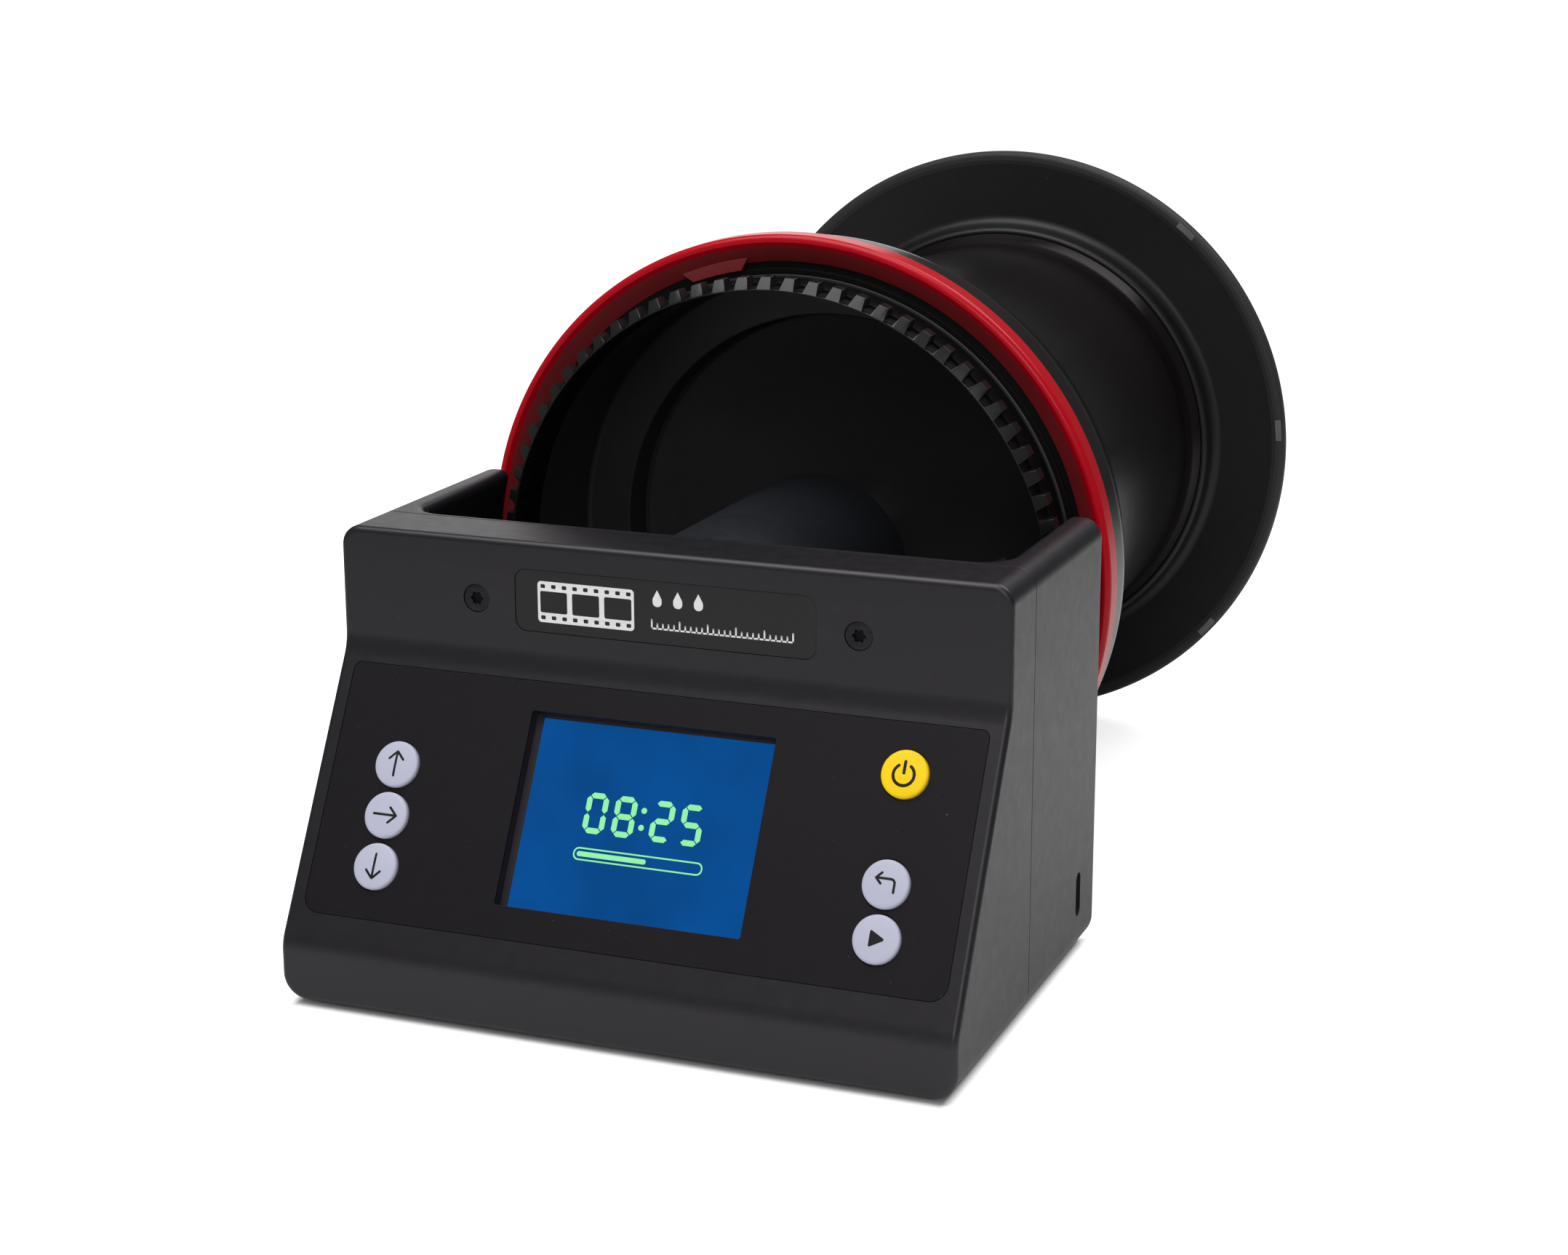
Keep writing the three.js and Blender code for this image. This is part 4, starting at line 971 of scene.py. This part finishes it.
cover_holes = [circle(side * x, y, 1.5, 32) for side in (-1, 1) for x, y in (FRONT_BOSS, REAR_BOSS)]
vents = [rectangle(x, x + 2, 24, 38, 0.9, None, 4) for x in range(-24, 25, 6)]
cover = sheet([rectangle(-58, 58, 3, 79.5, 4)] + cover_holes + vents, 1.3, 2.5, 0.15)
place(cover, "base_cover_plate", "unit", HOUSING, ["base_cover"])

usb = inlet_outline(1.3, 4.45, 1.25)
mouth = inlet_outline(1.0, 4.15, 0.95)
tube = sheet([usb, mouth], HALF_WIDTH - 7.5, HALF_WIDTH - 1, 0.06, ALONG_X)
tube_end = sheet([usb], HALF_WIDTH - 8, HALF_WIDTH - 7.3, 0.06, ALONG_X)
place(join([tube, tube_end]), "inlet_shell", "unit", STEEL, ["usb_port"])
tongue = sheet([rectangle(76.4, 77.0, 11.6, 18.0, 0.1)], HALF_WIDTH - 7.3, HALF_WIDTH - 2, 0.05, ALONG_X)
place(tongue, "inlet_tongue", "unit", DARK)

sleeve_corners = [
    (0, 45.5, 0),
    (21.4, 45.5, 0.6),
    (21.4, 114.3, 3),
    (3.3, 114.3, 0.4),
    (3.3, 112.3, 0),
    (19.4, 112.3, 1),
    (19.4, 48, 0),
    (0, 48, 0),
]
sleeve = lathe(rounded(sleeve_corners), 128, 0, 70.2)
place(sleeve, "probe_sleeve", "unit", SNOUT, ["probe_snout"])


# ---- Tank ----------------------------------------------------------------------------------------


def gear_outline(teeth, root, tip, root_share, tip_share, phase):
    """A tooth row: shares are how much of the pitch a tooth fills at its root and at its tip."""
    points = []
    pitch = 2 * math.pi / teeth
    for t in range(teeth):
        middle = phase + t * pitch
        flank = ((root, -root_share), (tip, -tip_share), (tip, tip_share), (root, root_share))
        for radius, offset in flank:
            angle = middle + offset * pitch / 2
            points.append((radius * math.cos(angle), AXIS_Z + radius * math.sin(angle)))
    return points


def about_axis(middle, inner, outer, steps):
    """A piece of a ring round the tank's axis as X and Z. Inner and outer are (radius, half angle)."""
    inwards, inner_half = inner
    outwards, outer_half = outer
    there = arc(0, 0, inwards, middle - inner_half, middle + inner_half, steps)
    back = arc(0, 0, outwards, middle + outer_half, middle - outer_half, steps)
    return [(x, z + AXIS_Z) for x, z in there + back]


GEAR_PHASE = math.atan2(PINION_Z - AXIS_Z, PINION_X)
teeth = gear_outline(GEAR_TEETH, 61.75, 64.1, 0.62, 0.40, GEAR_PHASE)
gear = prism_y(teeth, GEAR_FRONT, GEAR_BACK)
combine(gear, rod_y(GEAR_BORE, GEAR_FRONT - 1, GEAR_BACK + 1, 0, AXIS_Z, 300))
slope = [(61.6, GEAR_FRONT), (66.6, GEAR_FRONT + 3.5), (66.6, GEAR_FRONT - 1), (61.6, GEAR_FRONT - 1)]
combine(gear, lathe(slope, 300))
round_edges(gear, lambda a, b: True, 0.08, 1)
drum_profile = rounded(
    [
        (GEAR_BORE, GEAR_FRONT + 0.4, 0),
        (GEAR_BORE + 0.6, GEAR_FRONT + 0.4, 0),
        (GEAR_BORE + 0.6, GEAR_BACK - 0.5, 0),
        (GEAR_BORE + 1.3, GEAR_BACK - 0.5, 0.2),
        (GEAR_BORE + 1.3, LID_FRONT - RIM_GAP, 0.2),
        (GEAR_BORE, LID_FRONT - RIM_GAP, 0),
    ],
    3,
)
drum = lathe(drum_profile, 240)
place(gear, "toothed_rim", "tank", GEAR, ["gear_ring"])
# The drum is part of the toothed rim but is near-black: painted shade in the rim's bore.
place(drum, "rim_drum", "tank", PAINTED_SHADE_BLACK)

bead_profile = rounded(
    [
        (69.1, RING_FLANGE_BACK, 0),
        (69.1, 95.8, 0.1),
        (70.2, 94.97, 0.8),
        (71.8, 94.97, 1.3),
        (71.8, 101, 0.5),
        (70.2, 101, 0.15),
        (70.2, RING_FLANGE_BACK, 0),
    ],
    8,
)
place(lathe(bead_profile, 256), "red_ring", "lock_ring", RED, ["lock_ring"])
cone_profile = rounded(
    [(65.8, RING_FLANGE_BACK, 0), (65.8, 97.8, 0.2), (69.3, 95.65, 0), (69.3, RING_FLANGE_BACK, 0)], 4
)
flange = [lathe(cone_profile, 256)]
for middle in (105.5, 225.5, 345.5):
    tab = about_axis(middle, (64.4, 5.2), (67.0, 6.8), 12)
    flange.append(sheet([tab], 96.7, RING_FLANGE_BACK, 0.2, ALONG_Y, 3))
# The recessed cone and tabs take the darker red: painted shade, with a duller surface.
place(join(flange), "ring_flange", "lock_ring", DULL_SHADED_RED)

funnel_profile = rounded(
    [
        (GEAR_BORE, LID_FRONT, 0),
        (GEAR_BORE, 122.6, 1.2),
        (50.7, 122.9, 0.5),
        (50.7, 131.6, 0.6),
        (49.8, 132.6, 0.5),
        (5.5, 140, 1),
        (5.5, 142, 0.8),
        (15, 146, 0.5),
        (15, 162, 0.5),
        (17, 162, 0.5),
        (17, 144, 2),
        (52.7, 134.6, 0.5),
        (52.7, 125, 0.5),
        (63.3, 125, 1.5),
        (63.3, LID_FRONT, 0.5),
    ],
    5,
)
# The funnel's inside takes the lightened plastic: painted light in its shade.
place(lathe(funnel_profile, 192), "funnel_part", "tank", FUNNEL_PAINTED_LIGHT, ["light_trap_funnel"])
flange_profile = rounded(
    [
        (63.2, LID_FRONT, 0),
        (64.4, LID_FRONT, 0.2),
        (64.4, 98.2, 0.1),
        (69.4, 98.2, 0.3),
        (69.4, 99.4, 0.3),
        (63.2, 99.4, 0),
    ],
    3,
)
# The funnel's flange is near-black, unlike the rest of the funnel: painted shade on the annulus round the
# teeth.
place(lathe(flange_profile, 192), "funnel_flange", "tank", PAINTED_SHADE_BLACK)

tank_profile = rounded(
    [  # the outside from the ring to the base, then the inside back
        (68.8, 99.7, 0.3),
        (69.9, 106, 8),
        (69.9, 113.5, 13),
        (66.2, 126.6, 2.6),
        (55.4, 128.4, 2.2),
        (51.4, 243.2, 7),
        (53.9, 247.1, 0.6),
        (53.9, TANK_BASE, 0.3),
        (0, TANK_BASE, 0),
        (0, 248.9, 0),
        (49.2, 248.9, 1.5),
        (53.3, 126.2, 1.5),
        (63.8, 125.6, 2),
        (67.4, 112.5, 8),
        (67.4, 99.7, 0.3),
    ],
    8,
)
place(lathe(tank_profile, 224), "tank_shell", "tank", TANK_GLOSS, ["tank_body"])

disc_profile = rounded(
    [
        (0, DISC_FRONT, 0),
        (54.1, DISC_FRONT, 0.2),
        (54.2, DISC_FRONT - 4.2, 0.3),
        (55.1, DISC_FRONT - 4.2, 1.4),
        (56.5, DISC_FRONT, 2.6),
        (71.75, DISC_FRONT, 0),
        (71.75, DISC_FRONT + 2.4, 0.2),
        (60, DISC_FRONT + 2.4, 0.4),
        (58, DISC_FRONT + 3.4, 0.5),
        (20, DISC_FRONT + 3.4, 0.5),
        (18, DISC_FRONT + 2.4, 0.4),
        (0, DISC_FRONT + 2.4, 0),
    ],
    5,
)
place(lathe(disc_profile, 224), "disc_part", "tank", DISC, ["support_disc"])
tyre_profile = rounded(
    [
        (71.4, DISC_FRONT - 0.04, 0),
        (72.4, DISC_FRONT - 0.3, 0.5),
        (74.57, DISC_FRONT - 0.3, 1.3),
        (74.57, DISC_REAR, 1.3),
        (71.4, DISC_REAR, 0),
    ],
    6,
)
place(lathe(tyre_profile, 256), "tyre_part", "tank", RUBBER, ["disc_tyre"])
# Four pale patches on the tyre's front: painted glints.
marks = []
for middle in range(-85, 51, 45):
    mark = about_axis(middle, (72.5, 2.1), (74.0, 2.1), 8)
    marks.append(sheet([mark], DISC_FRONT - 0.36, DISC_FRONT - 0.28, 0.03, ALONG_Y))
place(join(marks), "tyre_painted_glint", "tank", PAINTED_GLINT)

# ---- CAD nodes that keep their own shape ---------------------------------------------------------

KEPT = {
    "lcd_frame": GREY_PAINT,
    "control_board": BOARD,
    "buzzer": DARK,
    "battery_cell": SLEEVE,
    "battery_holder": DARK,
    "usb_board": BOARD,
    "drive_motor": STEEL,
    "motor_bracket": STEEL,
    "drive_bush": BRONZE,
    "idler_pin": STEEL,
    "temperature_probe": STEEL,
    "drive_shaft": STEEL,
    "drive_pinion": NYLON,
    "idler_pinion": NYLON,
    # Column and clip deep in the funnel take the lightened funnel plastic: painted light.
    "centre_column": FUNNEL_PAINTED_LIGHT,
    "reel_1_turning_half": NYLON,
    "reel_1_fixed_half": NYLON,
    "reel_2_turning_half": NYLON,
    "reel_2_fixed_half": NYLON,
    "reel_clip": FUNNEL_PAINTED_LIGHT,
    "base_screw_front_left": BLACK_STEEL,
    "base_screw_front_right": BLACK_STEEL,
    "base_screw_rear_left": BLACK_STEEL,
    "base_screw_rear_right": BLACK_STEEL,
}
for name, finish in KEPT.items():
    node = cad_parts[name]
    node.data.materials.clear()
    node.data.materials.append(finish)

# ---- Camera, floor and light ---------------------------------------------------------------------

AZIMUTH, ELEVATION, ROLL = 0.37763, 0.26095, -0.00251
DISTANCE = 0.530625
TARGET = TO_ROW @ Vector((36.394, 0, 87.918))
camera_data = bpy.data.cameras.new("camera")
camera_data.sensor_width = 36
camera_data.lens = 66.868
camera = show("camera", camera_data)
level = math.cos(ELEVATION)
back_way = Vector((math.sin(AZIMUTH) * level, -math.cos(AZIMUTH) * level, math.sin(ELEVATION)))
roll = Matrix.Rotation(ROLL, 3, "Z").to_quaternion()
camera.rotation_mode = "QUATERNION"
camera.rotation_quaternion = (-back_way).to_track_quat("-Z", "Y") @ roll
camera.location = TARGET + back_way * DISTANCE
bpy.context.scene.camera = camera


def paper_material():
    """Pale paper. The camera alone also sees it glow, except under the housing and close to it."""
    m = Maker("floor_paper")
    paper = m.mix(m.noise(300, 2.0), (0.88, 0.88, 0.88), (0.90, 0.90, 0.90))
    away = m.add("ShaderNodeVectorMath", operation="LENGTH")
    m.link(m.place, away.inputs[0])
    away = away.outputs["Value"]
    tone = m.mix(m.span(away, 0.30, 0.80, 0, 1), paper, (0.25, 0.25, 0.25))
    m.link(tone, m.shader.inputs["Base Color"])
    m.shader.inputs["Roughness"].default_value = 0.6
    seen = m.add("ShaderNodeLightPath").outputs["Is Camera Ray"]
    split = m.add("ShaderNodeSeparateXYZ")
    m.link(m.place, split.inputs[0])
    half = (HALF_WIDTH - 3.2) * MM  # the housing's rounded edges stand off the floor
    rear = (REAR - 1.8 + SHIFT_Y) * MM
    beside = m.maths("SUBTRACT", m.maths("ABSOLUTE", split.outputs["X"], 0), half)
    before = m.maths("SUBTRACT", (NOSE + SHIFT_Y) * MM, split.outputs["Y"])
    behind = m.maths("SUBTRACT", split.outputs["Y"], rear)
    # The glow is held back in a strip round the housing's footprint and is weaker near the object: a
    # painted contact shadow on the floor.
    clear = m.maths("MAXIMUM", m.maths("MAXIMUM", beside, before), behind)
    glow = m.span(away, 0.25, 0.9, 0.72, 1.0)
    glow = m.maths("MULTIPLY", glow, m.span(clear, 0.0, 0.0022, 0.0, 1.0))
    m.link(m.maths("MULTIPLY", seen, glow), m.shader.inputs["Emission Strength"])
    m.shader.inputs["Emission Color"].default_value = (1, 1, 1, 1)
    return m.material


floor_mesh = bpy.data.meshes.new("floor")
floor_mesh.from_pydata([(-6, -6, 0), (6, -6, 0), (6, 6, 0), (-6, 6, 0)], [], [(0, 1, 2, 3)])
floor = show("floor", floor_mesh)
floor_mesh.materials.append(paper_material())

# The world lights the object faintly, more from the front, and is white to the camera.
world = bpy.data.worlds.new("studio")
world.use_nodes = True
bpy.context.scene.world = world
tree = world.node_tree
background = tree.nodes["Background"]
direction = tree.nodes.new("ShaderNodeTexCoord")
split = tree.nodes.new("ShaderNodeSeparateXYZ")
tree.links.new(direction.outputs["Generated"], split.inputs["Vector"])
facing = tree.nodes.new("ShaderNodeMapRange")
for socket, number in zip(facing.inputs[1:5], (-0.6, 0.6, 0.26, 0.10)):
    socket.default_value = number
tree.links.new(split.outputs["Y"], facing.inputs["Value"])
seen = tree.nodes.new("ShaderNodeLightPath")
brighter = tree.nodes.new("ShaderNodeMath")
brighter.operation = "MAXIMUM"
tree.links.new(seen.outputs["Is Camera Ray"], brighter.inputs[0])
tree.links.new(facing.outputs["Result"], brighter.inputs[1])
tree.links.new(brighter.outputs["Value"], background.inputs["Strength"])
background.inputs["Color"].default_value = (1, 1, 1, 1)


def softbox(name, position, target, size, power):
    """A square area light of some metres and watts, turned to its target."""
    data = bpy.data.lights.new(name, "AREA")
    data.shape = "SQUARE"
    data.size = size
    data.energy = power
    lamp = show(name, data)
    lamp.location = position
    lamp.rotation_mode = "QUATERNION"
    lamp.rotation_quaternion = (Vector(target) - Vector(position)).to_track_quat("-Z", "Y")


softbox("top_box", (-0.12, -0.22, 0.75), (0, -0.05, 0.05), 0.6, 4.7)
softbox("rear_box", (0.35, 0.50, 0.85), (0.25, 0.3, 0), 0.7, 5.0)
softbox("left_box", (-0.43, 0.83, 0.35), (-0.07, -0.07, 0.09), 0.5, 0.8)
softbox("front_fill", (0.35, -0.9, 0.55), (0, -0.05, 0.05), 0.5, 2.2)

bpy.context.scene.view_settings.view_transform = "Standard"
